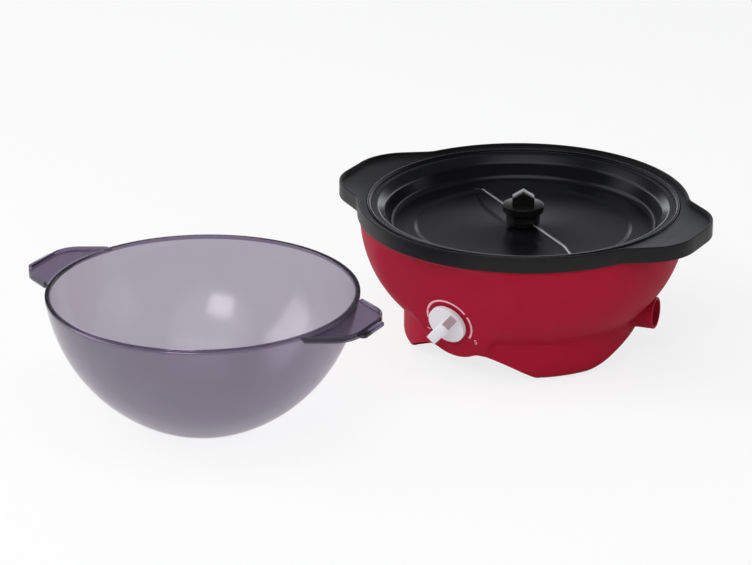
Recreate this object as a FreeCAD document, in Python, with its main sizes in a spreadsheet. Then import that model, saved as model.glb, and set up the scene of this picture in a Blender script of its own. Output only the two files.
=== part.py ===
# Stirring popcorn popper with its serving bowl, as a parametric FreeCAD document.
# Millimetres, +Z up.  The origin is on the worktop, on the axis of the stirrer shaft.
# The control knob faces -Y.  Azimuths are degrees from -Y towards +X.
import FreeCAD, Part
import math
import os
import re
from types import SimpleNamespace

import Sketcher
from FreeCAD import Placement, Rotation, Vector

os.makedirs("parts", exist_ok=True)
doc = FreeCAD.newDocument("PopcornPopper")

UP = Vector(0, 0, 1)
ORIGIN = Vector(0, 0, 0)

# ---------------------------------------------------------------- driving dimensions
DIMENSIONS = {
    # clearances shared by many pieces
    "slip_gap": 0.3,            # parts that only lie beside each other
    "press_gap": 0.02,          # parts pressed or screwed together
    "turn_gap": 0.05,           # a shaft in its bush
    "screw_gap": 0.2,           # a screw in its through hole
    "screw_end_gap": 1.0,       # free bore past a screw's end
    # collar ring with its two carrying handles
    "collar_radius": 150.0,
    "collar_top": 135.1,
    "collar_band": 14.1,
    "collar_wall": 2.2,
    "ledge_drop": 3.0,
    "ledge_width": 6.4,
    "seat_sheet": 2.5,
    "seat_width": 7.6,
    "handle_azimuth": 95.5,
    "handle_length": 26.0,
    "handle_spread": 31.0,
    "handle_neck": 8.0,
    "handle_sweep": 22.0,
    "handle_tip_width": 80.0,
    "handle_round": 50.0,
    "handle_web": 4.0,
    "collar_post_inset": 8.6,
    "collar_post_radius": 3.2,
    "collar_post_drop": 10.4,
    # moulded housing
    "shell_wall": 2.5,
    "belly_curve": 109.7,
    "belly_height": 121.0,
    "skirt_radius": 107.4,
    "foot_lift": 0.8,
    "foot_round": 11.0,
    "toe_radius": 84.5,
    "front_foot_azimuth": 53.5,
    "foot_half_angle": 11.0,
    "foot_side_round": 5.0,
    "arch_height": 26.0,
    "panel_inset": 28.5,
    "panel_height": 54.4,
    "panel_tilt": 18.0,
    "panel_curve": 350.0,
    "brow_depth": 10.0,
    "brow_fall": 4.0,
    "dial_pad_radius": 38.5,
    "dial_pad_depth": 6.0,
    "lug_width": 12.0,
    "lug_thick": 3.2,
    "lug_past_screw": 6.0,
    "plate_boss_pitch": 80.0,
    "plate_boss_radius": 4.5,
    "plate_boss_height": 24.0,
    "plate_rib": 3.0,
    # rubber foot pads
    "foot_pad_radius": 5.0,
    "foot_pad_height": 2.2,
    "foot_pad_pitch": 90.5,
    # cord entry
    "cord_azimuth": 105.0,
    "cord_height": 41.0,
    "cord_inset": 20.5,
    "cord_tube_radius": 14.5,
    "cord_tube_wall": 2.5,
    "cord_recess": 8.0,
    "cord_bush_length": 11.0,
    "cord_bore_radius": 3.6,
    "cord_pass_radius": 8.0,
    # pan
    "pan_side_gap": 0.4,
    "pan_rim_above_ledge": 1.0,
    "pan_sheet": 1.6,
    "pan_bead_width": 2.6,
    "pan_flange_drop": 2.4,
    "pan_flange_width": 6.8,
    "pan_depth": 23.1,
    "pan_knee_drop": 6.1,
    "pan_knee_run": 7.3,
    "pan_knee_round": 6.0,
    "pan_wall_run": 4.3,
    "pan_floor_round": 6.0,
    "pan_shoulder_round": 3.0,
    "pan_bead_round": 0.8,
    "pan_rim_round": 1.2,
    "pan_boss_radius": 9.0,
    "pan_boss_height": 10.0,
    "pan_boss_round": 1.0,
    "pan_boss_foot_round": 2.0,
    "pan_boss_bore": 5.2,
    "gasket_thick": 1.0,
    "gasket_width": 3.6,
    # heater stack under the pan
    "element_radius": 3.5,
    "element_ring": 78.0,
    "element_gap_angle": 36.0,
    "element_azimuth": 105.0,
    "element_bend": 7.0,
    "element_leg": 14.0,
    "element_hole_gap": 3.0,
    "clamp_sheet": 1.5,
    "clamp_radius": 92.0,
    "clamp_bore": 16.0,
    "stud_pitch": 50.0,
    "stud_radius": 2.0,
    "stud_length": 22.0,
    "spacer_height": 7.4,
    "spacer_radius": 4.5,
    "nut_height": 3.0,
    "nut_radius": 4.0,
    "shield_inset": 25.5,
    "shield_sheet": 1.0,
    "shield_bore": 8.0,
    "shield_screw_inset": 5.5,
    "cutout_radius": 7.5,
    "cutout_height": 5.0,
    "cutout_pitch": 34.0,
    "cutout_azimuth": 210.0,
    # gearmotor
    "post_height": 13.5,
    "post_radius": 3.5,
    "rivet_radius": 2.0,
    "rivet_head_radius": 3.2,
    "rivet_head_height": 0.8,
    "frame_sheet": 1.5,
    "frame_space": 14.5,
    "frame_left": 32.0,
    "frame_right": 60.0,
    "frame_front": 30.0,
    "frame_back": 54.0,
    "frame_post_inset": 5.0,
    "frame_screw_grip": 8.0,
    "gear_module": 0.7,
    "gear_backlash": 0.1,
    "pinion_teeth": 18,
    "idler_teeth": 54,
    "output_teeth": 72,
    "gear_face": 4.0,
    "output_face": 5.0,
    "idler_lift": 1.0,
    "gear_hub_radius": 6.0,
    "gear_float": 0.8,
    "motor_radius": 25.0,
    "motor_height": 23.0,
    "motor_sheet": 1.0,
    "motor_round": 2.0,
    "motor_inside_round": 1.0,
    "motor_screw_pitch": 28.8,
    "coil_bore": 12.0,
    "coil_height": 15.0,
    "rotor_radius": 11.0,
    "rotor_height": 14.0,
    "rotor_drop": 4.8,
    "pin_radius": 1.5,
    # drive shaft
    "shaft_radius": 3.0,
    "shaft_flat": 2.2,
    "shaft_tail": 4.0,
    "shaft_above_floor": 18.0,
    "shaft_flat_past": 1.0,
    "clip_radius": 5.0,
    "clip_sheet": 0.8,
    "clip_groove": 0.7,
    "bush_radius": 5.0,
    "bush_flange": 6.5,
    "bush_flange_thick": 1.2,
    "seal_height": 2.3,
    # stirrer
    "hub_gap": 1.5,
    "hub_tier_radius": 15.3,
    "hub_tier_height": 11.5,
    "hub_disc_radius": 18.6,
    "hub_disc_height": 6.7,
    "hub_wall": 4.3,
    "hub_cavity_height": 9.6,
    "hub_round": 0.8,
    "ring_groove": 0.5,
    "ring_mark": 1.2,
    "grip_width": 20.0,
    "grip_depth": 13.0,
    "grip_eaves": 6.9,
    "grip_ridge": 12.6,
    "grip_azimuth": 33.0,
    "arm_radius": 1.1,
    "arm_above_floor": 6.2,
    "arm_reach": 81.0,
    "arm_toe_reach": 96.0,
    "arm_toe_gap": 0.6,
    "arm_bend": 6.0,
    "arm_azimuth": 60.0,
    # heat control and knob
    "control_side": 30.0,
    "control_depth": 20.0,
    "control_neck_radius": 4.8,
    "control_neck_past": 3.0,
    "control_shaft_inside": 14.0,
    "control_nut_radius": 8.0,
    "control_nut_height": 1.8,
    "knob_radius": 18.3,
    "knob_lift": 1.0,
    "knob_flange": 4.8,
    "knob_wall": 2.4,
    "knob_round": 1.0,
    "knob_bar_round": 1.5,
    "knob_boss_radius": 5.6,
    "knob_boss_lift": 3.5,
    "knob_bar_width": 9.6,
    "knob_bar_height": 10.0,
    "knob_slope_start": 9.5,
    "knob_slope_foot": 1.0,
    "knob_rest_angle": 46.0,
    "marker_thick": 0.8,
    "marker_border": 0.8,
    # bottom plate
    "plate_gap": 1.0,
    "plate_sheet": 2.2,
    "plate_edge_gap": 1.2,
    "vent_count": 18,
    "vent_pitch": 46.0,
    "vent_length": 16.0,
    "vent_width": 4.0,
    # screws
    "screw_radius": 1.5,
    "screw_head_radius": 3.0,
    "screw_head_height": 2.2,
    "screw_bite": 8.0,
    # terminal block
    "block_length": 26.0,
    "block_width": 14.0,
    "block_height": 11.0,
    "block_pitch": 80.0,
    "block_screw_pitch": 8.0,
    # serving bowl, which is also the cover of the pan
    "bowl_x": -126.9,
    "bowl_y": -309.4,
    "bowl_radius": 135.2,
    "bowl_height": 117.8,
    "bowl_wall": 2.2,
    "bowl_curve": 146.8,
    "bowl_floor_radius": 46.85,
    "bowl_rim_width": 4.6,
    "bowl_rim_height": 3.0,
    "ear_azimuth": 96.5,
    "ear_length": 27.8,
    "ear_spread": 25.0,
    "ear_neck": 6.0,
    "ear_sweep": 14.0,
    "ear_tip_width": 62.0,
    "ear_round": 26.0,
    "ear_drop": 2.4,
    "ear_border": 1.8,
    "ear_border_height": 5.6,
    "ear_web": 2.0,
    "ear_tab_past": 5.5,
    "ear_tab_width": 36.0,
    "ear_tab_round": 4.0,
}

sheet = doc.addObject("Spreadsheet::Sheet", "Sizes")
for row, (alias, value) in enumerate(DIMENSIONS.items(), start=1):
    sheet.set(f"A{row}", alias.replace("_", " "))
    sheet.set(f"B{row}", str(value))
    sheet.setAlias(f"B{row}", alias)
doc.recompute()
s = SimpleNamespace(**{alias: float(sheet.get(alias)) for alias in DIMENSIONS})

# ---------------------------------------------------------------- levels worked out
ledge_top = s.collar_top - s.ledge_drop
band_bottom = s.collar_top - s.collar_band
pan_rim = ledge_top + s.pan_rim_above_ledge
flange_top = pan_rim - s.pan_flange_drop
flange_under = flange_top - s.pan_sheet
seat_top = flange_under - s.gasket_thick
collar_under = seat_top - s.seat_sheet
collar_inside = s.collar_radius - s.collar_wall
seat_radius = collar_inside - s.ledge_width
pan_radius = seat_radius - s.pan_side_gap
handle_reach = s.collar_radius + s.handle_length
post_pitch = s.collar_radius - s.collar_post_inset
shell_top_radius = collar_inside - s.slip_gap
panel_reach = shell_top_radius - s.panel_inset
cord_reach = shell_top_radius - s.cord_inset
shield_radius = shell_top_radius - s.shield_inset
shield_screw_pitch = shield_radius - s.shield_screw_inset
shell_top = collar_under - s.slip_gap
floor_top = pan_rim - s.pan_depth
floor_under = floor_top - s.pan_sheet
element_middle = floor_under - s.element_radius
clamp_top = floor_under - 2 * s.element_radius
clamp_under = clamp_top - s.clamp_sheet
shield_top = clamp_under - s.spacer_height
shield_under = shield_top - s.shield_sheet
frame_top = shield_under - s.post_height
upper_plate_under = frame_top - s.frame_sheet
lower_plate_top = upper_plate_under - s.frame_space
lower_plate_under = lower_plate_top - s.frame_sheet
base_plate_under = s.arch_height + s.plate_gap
base_plate_top = base_plate_under + s.plate_sheet
post_bottom = collar_under - s.collar_post_drop
idler_x = s.gear_module / 2 * (s.output_teeth + s.pinion_teeth)
motor_y = s.gear_module / 2 * (s.idler_teeth + s.pinion_teeth)
tapping = s.screw_radius + s.press_gap      # bore that a screw bites into
through = s.screw_radius + s.screw_gap      # bore that a screw passes
bearing = s.shaft_radius + s.turn_gap       # bore that the drive shaft turns in
CUT_PAST = 1.0                              # run of a cutting shape past the face it cuts
PRESSURE_ANGLE = 20.0                       # of the gear teeth, in degrees
DEDENDUM = 1.25                             # root depth of a gear tooth, in modules
FOOT_AZIMUTHS = (s.front_foot_azimuth, -s.front_foot_azimuth, 180.0)
COLLAR_SCREW_AZIMUTHS = (60.0, 180.0, 300.0)
SHIELD_SCREW_AZIMUTHS = (90.0, 210.0, 330.0)
STUD_AZIMUTHS = (30.0, 150.0, 270.0)


# ---------------------------------------------------------------- helpers
def heading(azimuth):
    """Unit vector of an azimuth."""
    angle = math.radians(azimuth)
    return Vector(math.sin(angle), -math.cos(angle), 0)


def at(azimuth, radius, height):
    return heading(azimuth) * radius + Vector(0, 0, height)


def turn_to(azimuth):
    """Placement that turns +X to an azimuth."""
    return Placement(ORIGIN, Rotation(UP, azimuth - 90))


def rounded_outline(points, closed=True):
    """Wire through (x, y) or (x, y, fillet radius) corners, in the XY plane."""
    corners = [Vector(p[0], p[1], 0) for p in points]
    radii = [p[2] if len(p) > 2 else 0 for p in points]
    count = len(corners)
    entry, leave, arcs = [], [], []
    for i, corner in enumerate(corners):
        if radii[i] == 0 or (not closed and i in (0, count - 1)):
            entry.append(corner)
            leave.append(corner)
            arcs.append(None)
            continue
        back = (corners[i - 1] - corner).normalize()
        ahead = (corners[(i + 1) % count] - corner).normalize()
        half = back.getAngle(ahead) / 2
        reach = radii[i] / math.tan(half)
        bisector = (back + ahead).normalize()
        middle = corner + bisector * (radii[i] / math.sin(half) - radii[i])
        entry.append(corner + back * reach)
        leave.append(corner + ahead * reach)
        arcs.append(middle)
    edges = []
    for i in range(count):
        if arcs[i]:
            edges.append(Part.Arc(entry[i], arcs[i], leave[i]).toShape())
        if i < count - 1 or closed:
            after = entry[(i + 1) % count]
            if (after - leave[i]).Length > 1e-6:
                edges.append(Part.LineSegment(leave[i], after).toShape())
    return Part.Wire(edges)


def revolved(wire):
    """Solid of a closed (radius, height) outline turned about Z."""
    profile = wire.copy()
    profile.rotate(ORIGIN, Vector(1, 0, 0), 90)
    return Part.Face(profile).revolve(ORIGIN, UP, 360)


def turned(points):
    return revolved(rounded_outline(points))


def prism(wire, bottom, top):
    face = Part.Face(wire)
    face.translate(Vector(0, 0, bottom))
    return face.extrude(Vector(0, 0, top - bottom))


def cylinder(radius, bottom, top, centre=ORIGIN):
    return Part.makeCylinder(radius, top - bottom, Vector(centre.x, centre.y, bottom))


def rod(radius, start, end):
    return Part.makeCylinder(radius, (end - start).Length, start, end - start)


def block(length, width, bottom, top, start=0.0):
    """Box from x = start, centred on y = 0."""
    return Part.makeBox(length, width, top - bottom, Vector(start, -width / 2, bottom))


def around(shape, azimuth):
    """Copy of a shape built along +X, turned to an azimuth."""
    copy = shape.copy()
    copy.Placement = turn_to(azimuth).multiply(copy.Placement)
    return copy


def arc_between(centre, radius, start, end):
    """Arc about a centre from one angle to another, in degrees, in the XY plane."""
    def spot(angle):
        turn = math.radians(angle)
        return Vector(centre[0] + radius * math.cos(turn), centre[1] + radius * math.sin(turn), 0)
    return Part.Arc(spot(start), spot((start + end) / 2), spot(end)).toShape()


def add_solid(label, shape, placement=None):
    """Put a finished shape in the document as a sub-part of its own."""
    feature = doc.addObject("Part::Feature", label)
    feature.Label = label
    feature.Shape = shape
    if placement:
        feature.Placement = placement
    return feature


def bind(text):
    """Expression whose words are the sheet's aliases."""
    return re.sub(r"[a-z_]+", lambda m: "Sizes." * (m.group() in DIMENSIONS) + m.group(), text)


def origin_plane(body, role):
    return next(item for item in body.Origin.OriginFeatures if item.Role == role)


def body_sketch(body, name, role, height=None):
    sketch = body.newObject("Sketcher::SketchObject", name)
    sketch.AttachmentSupport = [(origin_plane(body, role), "")]
    sketch.MapMode = "FlatFace"
    if height:
        sketch.setExpression(".AttachmentOffset.Base.z", bind(height))
    return sketch


def turned_body(label, corners):
    """Body turned about Z from a polygon whose corners are (radius, height) expressions."""
    body = doc.addObject("PartDesign::Body", label)
    body.Label = label
    sketch = body_sketch(body, label + "_profile", "XZ_Plane")
    spots = [[value_of(text) for text in corner] for corner in corners]
    count = len(corners)
    for i in range(count):
        start, end = spots[i], spots[(i + 1) % count]
        sketch.addGeometry(Part.LineSegment(Vector(*start, 0), Vector(*end, 0)), False)
    for i in range(count):
        sketch.addConstraint(Sketcher.Constraint("Coincident", i, 2, (i + 1) % count, 1))
    for i in range(count):
        pin_point(sketch, i, 1, corners[i])
    turning = body.newObject("PartDesign::Revolution", label + "_turning")
    turning.Profile = sketch
    turning.ReferenceAxis = (sketch, ["V_Axis"])
    turning.Angle = 360
    return body


def value_of(text):
    """Number that an expression of the sheet's aliases comes to."""
    probe = sheet_probe
    probe.setExpression("Value", bind(text))
    probe.recompute()
    return probe.Value


def pin_point(sketch, geometry, point, place):
    """Pin a sketch point to two expressions, or to an axis where one is 0."""
    for kind, text, axis in (("DistanceX", place[0], -2), ("DistanceY", place[1], -1)):
        if text == "0":
            sketch.addConstraint(Sketcher.Constraint("PointOnObject", geometry, point, axis))
            continue
        rule = Sketcher.Constraint(kind, -1, 1, geometry, point, value_of(text))
        number = sketch.addConstraint(rule)
        sketch.setExpression(f"Constraints[{number}]", bind(text))


def pin_circle(sketch, radius, place=("0", "0")):
    """Circle in a sketch, with bound radius and centre."""
    centre = Vector(value_of(place[0]), value_of(place[1]), 0)
    circle = Part.Circle(centre, UP, value_of(radius))
    geometry = sketch.addGeometry(circle, False)
    pin_point(sketch, geometry, 3, place)
    number = sketch.addConstraint(Sketcher.Constraint("Radius", geometry, value_of(radius)))
    sketch.setExpression(f"Constraints[{number}]", bind(radius))


def pin_polygon(sketch, corners):
    """Closed polygon in a sketch, each corner pinned to two expressions."""
    spots = [Vector(value_of(x), value_of(y), 0) for x, y in corners]
    first = sketch.GeometryCount
    count = len(corners)
    for i in range(count):
        sketch.addGeometry(Part.LineSegment(spots[i], spots[(i + 1) % count]), False)
    for i in range(count):
        after = first + (i + 1) % count
        sketch.addConstraint(Sketcher.Constraint("Coincident", first + i, 2, after, 1))
    for i in range(count):
        pin_point(sketch, first + i, 1, corners[i])


def padded(body, name, sketch, length, reverse=False):
    pad = body.newObject("PartDesign::Pad", name)
    pad.Profile = sketch
    pad.setExpression("Length", bind(length))
    pad.Reversed = reverse
    return pad


def disc_body(label, radius, thickness, holes):
    """Round plate standing on z = 0, with round holes (radius, (x, y)) through it."""
    body = doc.addObject("PartDesign::Body", label)
    body.Label = label
    sketch = body_sketch(body, label + "_outline", "XY_Plane")
    pin_circle(sketch, radius)
    for hole_radius, place in holes:
        pin_circle(sketch, hole_radius, place)
    padded(body, label + "_sheet", sketch, thickness)
    return body


def spot_expression(pitch, azimuth):
    """Pair of expressions for the place at an azimuth on a pitch circle."""
    return f"{pitch} * sin({azimuth} deg)", f"-{pitch} * cos({azimuth} deg)"


def lift(height):
    return Placement(Vector(0, 0, height), Rotation())


def place_body(body, placement):
    body.Placement = placement
    return body


def screw(head_top, length, place, upward=True):
    """Screw with its head's outer face at a level and its shank running up or down."""
    way = 1 if upward else -1
    head = Part.makeCylinder(s.screw_head_radius, s.screw_head_height, place, UP * way)
    shank = Part.makeCylinder(s.screw_radius, s.screw_head_height + length, place, UP * way)
    head.translate(Vector(0, 0, head_top - place.z))
    shank.translate(Vector(0, 0, head_top - place.z))
    return head.fuse(shank).removeSplitter()


# a scratch object whose Value works out an expression
sheet_probe = doc.addObject("App::FeaturePython", "Probe")
sheet_probe.addProperty("App::PropertyFloat", "Value")

# ---------------------------------------------------------------- the panel's own frame
# local X to the right, local Y up the panel, local Z out of it; origin under the knob
tilt = math.radians(s.panel_tilt)
panel_out = Vector(0, -math.cos(tilt), -math.sin(tilt))
panel_up = Vector(0, -math.sin(tilt), math.cos(tilt))
panel_centre = Vector(0, -panel_reach, s.panel_height)
panel_frame = Placement(panel_centre, Rotation(Vector(1, 0, 0), 90 + s.panel_tilt))


def behind_panel(inset):
    """Everything behind the panel's curved surface, drawn in by an inset."""
    length = 8 * s.collar_radius
    start = panel_centre - panel_out * s.panel_curve - panel_up * (length / 2)
    return Part.makeCylinder(s.panel_curve - inset, length, start, panel_up)


def on_panel(shape):
    copy = shape.copy()
    copy.Placement = panel_frame.multiply(copy.Placement)
    return copy


# ---------------------------------------------------------------- collar
def ear_plan(radius, reach, spread, neck, sweep, tip_width, tip_round):
    """Plan of an ear along +X: out of a ring with a sweep, to a blunt rounded tip."""
    turn = math.radians(spread)
    root = Vector(radius * math.cos(turn), radius * math.sin(turn), 0)
    waist = root + Vector(math.sin(turn), -math.cos(turn), 0) * neck
    inside = root * math.cos(turn)
    half = [(inside.x, inside.y), (root.x, root.y), (waist.x, waist.y, sweep),
            (reach, tip_width / 2, tip_round)]
    mirrored = [(p[0], -p[1]) + tuple(p[2:]) for p in reversed(half)]
    return rounded_outline(half + mirrored)


def drawn_in(wire, inset):
    return Part.Face(wire).makeOffset2D(-inset).OuterWire


def collar():
    plan = ear_plan(s.collar_radius, handle_reach, s.handle_spread, s.handle_neck,
                    s.handle_sweep, s.handle_tip_width, s.handle_round)
    inner_plan = drawn_in(plan, s.collar_wall)
    blank = cylinder(s.collar_radius, band_bottom, s.collar_top)
    over = cylinder(collar_inside, ledge_top, s.collar_top + CUT_PAST)
    under = cylinder(collar_inside, 0, collar_under)
    for azimuth in (s.handle_azimuth, s.handle_azimuth + 180):
        blank = blank.fuse(around(prism(plan, band_bottom, s.collar_top), azimuth))
        pocket = prism(inner_plan, ledge_top, s.collar_top + CUT_PAST)
        over = over.fuse(around(pocket, azimuth))
        hollow = prism(inner_plan, 0, ledge_top - s.handle_web)
        ring = cylinder(s.collar_radius, 0, s.collar_top)
        under = under.fuse(around(hollow, azimuth).cut(ring))
    shape = blank.cut(over).cut(under)
    shape = shape.cut(cylinder(seat_radius, seat_top, s.collar_top))
    shape = shape.cut(cylinder(seat_radius - s.seat_width, 0, s.collar_top))
    for azimuth in COLLAR_SCREW_AZIMUTHS:
        middle = at(azimuth, post_pitch, 0)
        shape = shape.fuse(cylinder(s.collar_post_radius, post_bottom, collar_under, middle))
        bore = cylinder(tapping, post_bottom - CUT_PAST, post_bottom + s.screw_bite, middle)
        shape = shape.cut(bore)
    return shape.removeSplitter()


add_solid("collar", collar())


# ---------------------------------------------------------------- housing
def belly_outline(inset, bottom, inner_radius, top):
    """Belly, skirt and foot as a closed (radius, height) outline, drawn in by an inset."""
    top_radius = shell_top_radius - inset
    curve = s.belly_curve - inset
    middle = (shell_top_radius - s.belly_curve, s.belly_height)
    skirt = s.skirt_radius - inset
    crease = math.degrees(math.acos((skirt - middle[0]) / curve))
    crease_level = middle[1] - curve * math.sin(math.radians(crease))
    foot_under = bottom - 2 * s.foot_pad_height
    hollow = [(inner_radius, bottom), (inner_radius, foot_under), (0, foot_under)]
    solid = [(0, bottom)]
    corners = [(skirt, crease_level), (skirt, bottom, s.foot_round - inset)]
    corners += hollow if inner_radius else solid
    corners += [(0, top), (top_radius, top), (top_radius, middle[1])]
    belly = arc_between(middle, curve, -crease, 0)
    return Part.Wire(rounded_outline(corners, closed=False).Edges + [belly])


def arch_azimuths(half_gap):
    """Edge of an arch as three runs of (azimuth, height): toe, crown and toe."""
    half = s.skirt_radius * math.sin(math.radians(half_gap))
    curve = (half ** 2 + s.arch_height ** 2) / (2 * s.arch_height)
    middle = s.arch_height - curve
    toe = s.foot_side_round
    toe_level = s.foot_lift + toe
    toe_side = math.sqrt((curve + toe) ** 2 - (toe_level - middle) ** 2)
    lean = math.asin(toe_side / (curve + toe))

    def place(side, height):
        return math.asin(side / s.skirt_radius), height

    toe_turns = [lean * k / 4 for k in range(5)]
    right = [place(toe_side - toe * math.sin(b), toe_level - toe * math.cos(b)) for b in toe_turns]
    crown_turns = [-lean + 2 * lean * k / 12 for k in range(13)]
    crown = [place(curve * math.sin(a), middle + curve * math.cos(a)) for a in crown_turns]
    left = [(-azimuth, height) for azimuth, height in right]
    return left, crown, list(reversed(right))


def arch_cut(azimuth, half_gap):
    """Radial opening between two feet, whose sides all point at the axis."""
    out = heading(azimuth)
    side = UP.cross(out)
    below = -4 * s.foot_pad_height
    sections = []
    for distance in (s.skirt_radius / 2, s.collar_radius):
        def spot(lean, height):
            return out * distance + side * (distance * math.tan(lean)) + UP * height
        edges = []
        for run in arch_azimuths(half_gap):
            curve = Part.BSplineCurve()
            curve.interpolate([spot(*point) for point in run])
            edges.append(curve.toShape())
        first = arch_azimuths(half_gap)[0][0]
        start, end = spot(*first), spot(-first[0], first[1])
        start_low, end_low = spot(first[0], below), spot(-first[0], below)
        edges.append(Part.LineSegment(end, end_low).toShape())
        edges.append(Part.LineSegment(end_low, start_low).toShape())
        edges.append(Part.LineSegment(start_low, start).toShape())
        sections.append(Part.Wire(edges))
    return Part.makeLoft(sections, True, True)


def brow():
    """Thickened top edge over the panel, where the panel falls back from the collar."""
    inner = shell_top_radius - s.brow_depth
    ring = turned([(shell_top_radius, s.belly_height), (shell_top_radius, shell_top),
                   (inner, shell_top), (inner, s.belly_height - s.brow_fall)])
    front = Part.makeBox(2 * s.collar_radius, s.collar_radius, s.collar_radius,
                         Vector(-s.collar_radius, -panel_reach - s.collar_radius, 0))
    return ring.common(front)


def lug(azimuth, pitch, top):
    """Screw lug that stands in from the housing wall."""
    length = s.collar_radius - pitch + s.lug_past_screw
    start = pitch - s.lug_past_screw
    return around(block(length, s.lug_width, top - s.lug_thick, top, start), azimuth)


def plate_boss(azimuth):
    """Boss with a rib to the wall, for a screw that comes up through the bottom plate."""
    top = base_plate_top + s.plate_boss_height
    boss = cylinder(s.plate_boss_radius, base_plate_top, top, at(azimuth, s.plate_boss_pitch, 0))
    rib = block(s.collar_radius - s.plate_boss_pitch, s.plate_rib, base_plate_top, top,
                s.plate_boss_pitch)
    return boss.fuse(around(rib, azimuth))


lug_top = post_bottom - s.slip_gap
gap_between = s.front_foot_azimuth - s.foot_half_angle
side_arch = (180 + s.front_foot_azimuth) / 2
side_half_gap = (180 - s.front_foot_azimuth) / 2 - s.foot_half_angle


def housing_shell():
    outside = revolved(belly_outline(0, s.foot_lift, 0, shell_top)).common(behind_panel(0))
    inside = revolved(belly_outline(s.shell_wall, s.foot_lift + s.shell_wall, s.toe_radius,
                                    shell_top + CUT_PAST))
    shape = outside.cut(inside.common(behind_panel(s.shell_wall)))
    shape = shape.cut(arch_cut(0, gap_between))
    shape = shape.cut(arch_cut(side_arch, side_half_gap))
    shape = shape.cut(arch_cut(-side_arch, side_half_gap))
    shape = shape.fuse(brow())
    pad = Part.makeCylinder(s.dial_pad_radius, 2 * s.dial_pad_depth, Vector(0, 0, -s.dial_pad_depth))
    shape = shape.fuse(on_panel(pad).common(behind_panel(0)))
    tube_start = at(s.cord_azimuth, s.skirt_radius - s.shell_wall, s.cord_height)
    tube_end = at(s.cord_azimuth, cord_reach, s.cord_height)
    shape = shape.fuse(rod(s.cord_tube_radius, tube_start, tube_end))
    collar_lugs = [(azimuth, post_pitch, lug_top, through) for azimuth in COLLAR_SCREW_AZIMUTHS]
    shield_lugs = [(azimuth, shield_screw_pitch, shield_under, tapping)
                   for azimuth in SHIELD_SCREW_AZIMUTHS]
    for azimuth, pitch, top, radius in collar_lugs + shield_lugs:
        shape = shape.fuse(lug(azimuth, pitch, top).common(outside))
        bottom = top - s.lug_thick - CUT_PAST
        shape = shape.cut(cylinder(radius, bottom, top + CUT_PAST, at(azimuth, pitch, 0)))
    for azimuth in FOOT_AZIMUTHS:
        shape = shape.fuse(plate_boss(azimuth).common(outside))
        middle = at(azimuth, s.plate_boss_pitch, 0)
        bore_top = base_plate_top + s.screw_bite
        shape = shape.cut(cylinder(tapping, base_plate_top - CUT_PAST, bore_top, middle))
        seat = cylinder(s.foot_pad_radius + s.press_gap, 0, s.foot_pad_height,
                        at(azimuth, s.foot_pad_pitch, 0))
        shape = shape.cut(seat)
    bush_seat = cord_reach - s.cord_recess - s.cord_bush_length
    bore = s.cord_tube_radius - s.cord_tube_wall
    out = heading(s.cord_azimuth)
    shape = shape.cut(rod(bore, at(s.cord_azimuth, bush_seat, s.cord_height), tube_end + out))
    pass_start = at(s.cord_azimuth, bush_seat - s.cord_bush_length, s.cord_height)
    shape = shape.cut(rod(s.cord_pass_radius, pass_start, tube_end))
    neck = Part.makeCylinder(s.control_neck_radius + s.press_gap, 4 * s.dial_pad_depth,
                             Vector(0, 0, -2 * s.dial_pad_depth))
    return shape.cut(on_panel(neck)).removeSplitter()


add_solid("housing_shell", housing_shell())

foot_pads = Part.makeCompound([cylinder(s.foot_pad_radius, 0, s.foot_pad_height,
                                        at(azimuth, s.foot_pad_pitch, 0))
                               for azimuth in FOOT_AZIMUTHS])
add_solid("foot_pads", foot_pads)

collar_screw_head = lug_top - s.lug_thick - s.screw_head_height
collar_screw_length = s.lug_thick + s.slip_gap + s.screw_bite - s.screw_end_gap
add_solid("collar_screws", Part.makeCompound(
    [screw(collar_screw_head, collar_screw_length, at(azimuth, post_pitch, 0))
     for azimuth in COLLAR_SCREW_AZIMUTHS]))

# black bush that the mains cord comes out of, with its axis along the tube
bush_fit = "cord_tube_radius - cord_tube_wall - press_gap"
cord_bush = turned_body("cord_bush", [("cord_bore_radius", "0"), (bush_fit, "0"),
                                      (bush_fit, "cord_bush_length - 2 * slip_gap"),
                                      (bush_fit + " - 2 * slip_gap", "cord_bush_length"),
                                      ("cord_bore_radius", "cord_bush_length")])
cord_axis = Rotation(UP, heading(s.cord_azimuth))
bush_inner_end = at(s.cord_azimuth, cord_reach - s.cord_recess - s.cord_bush_length, s.cord_height)
place_body(cord_bush, Placement(bush_inner_end, cord_axis))


# ---------------------------------------------------------------- pan and its gasket
def under_sheet(radius, height, slope_in, slope_out):
    """Corner of the pan's outside below a corner of its inside, between two slopes of the sheet."""
    middle = (slope_in + slope_out) / 2
    reach = s.pan_sheet / math.cos((slope_out - slope_in) / 2)
    return radius + reach * math.sin(middle), height - reach * math.cos(middle)


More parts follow.
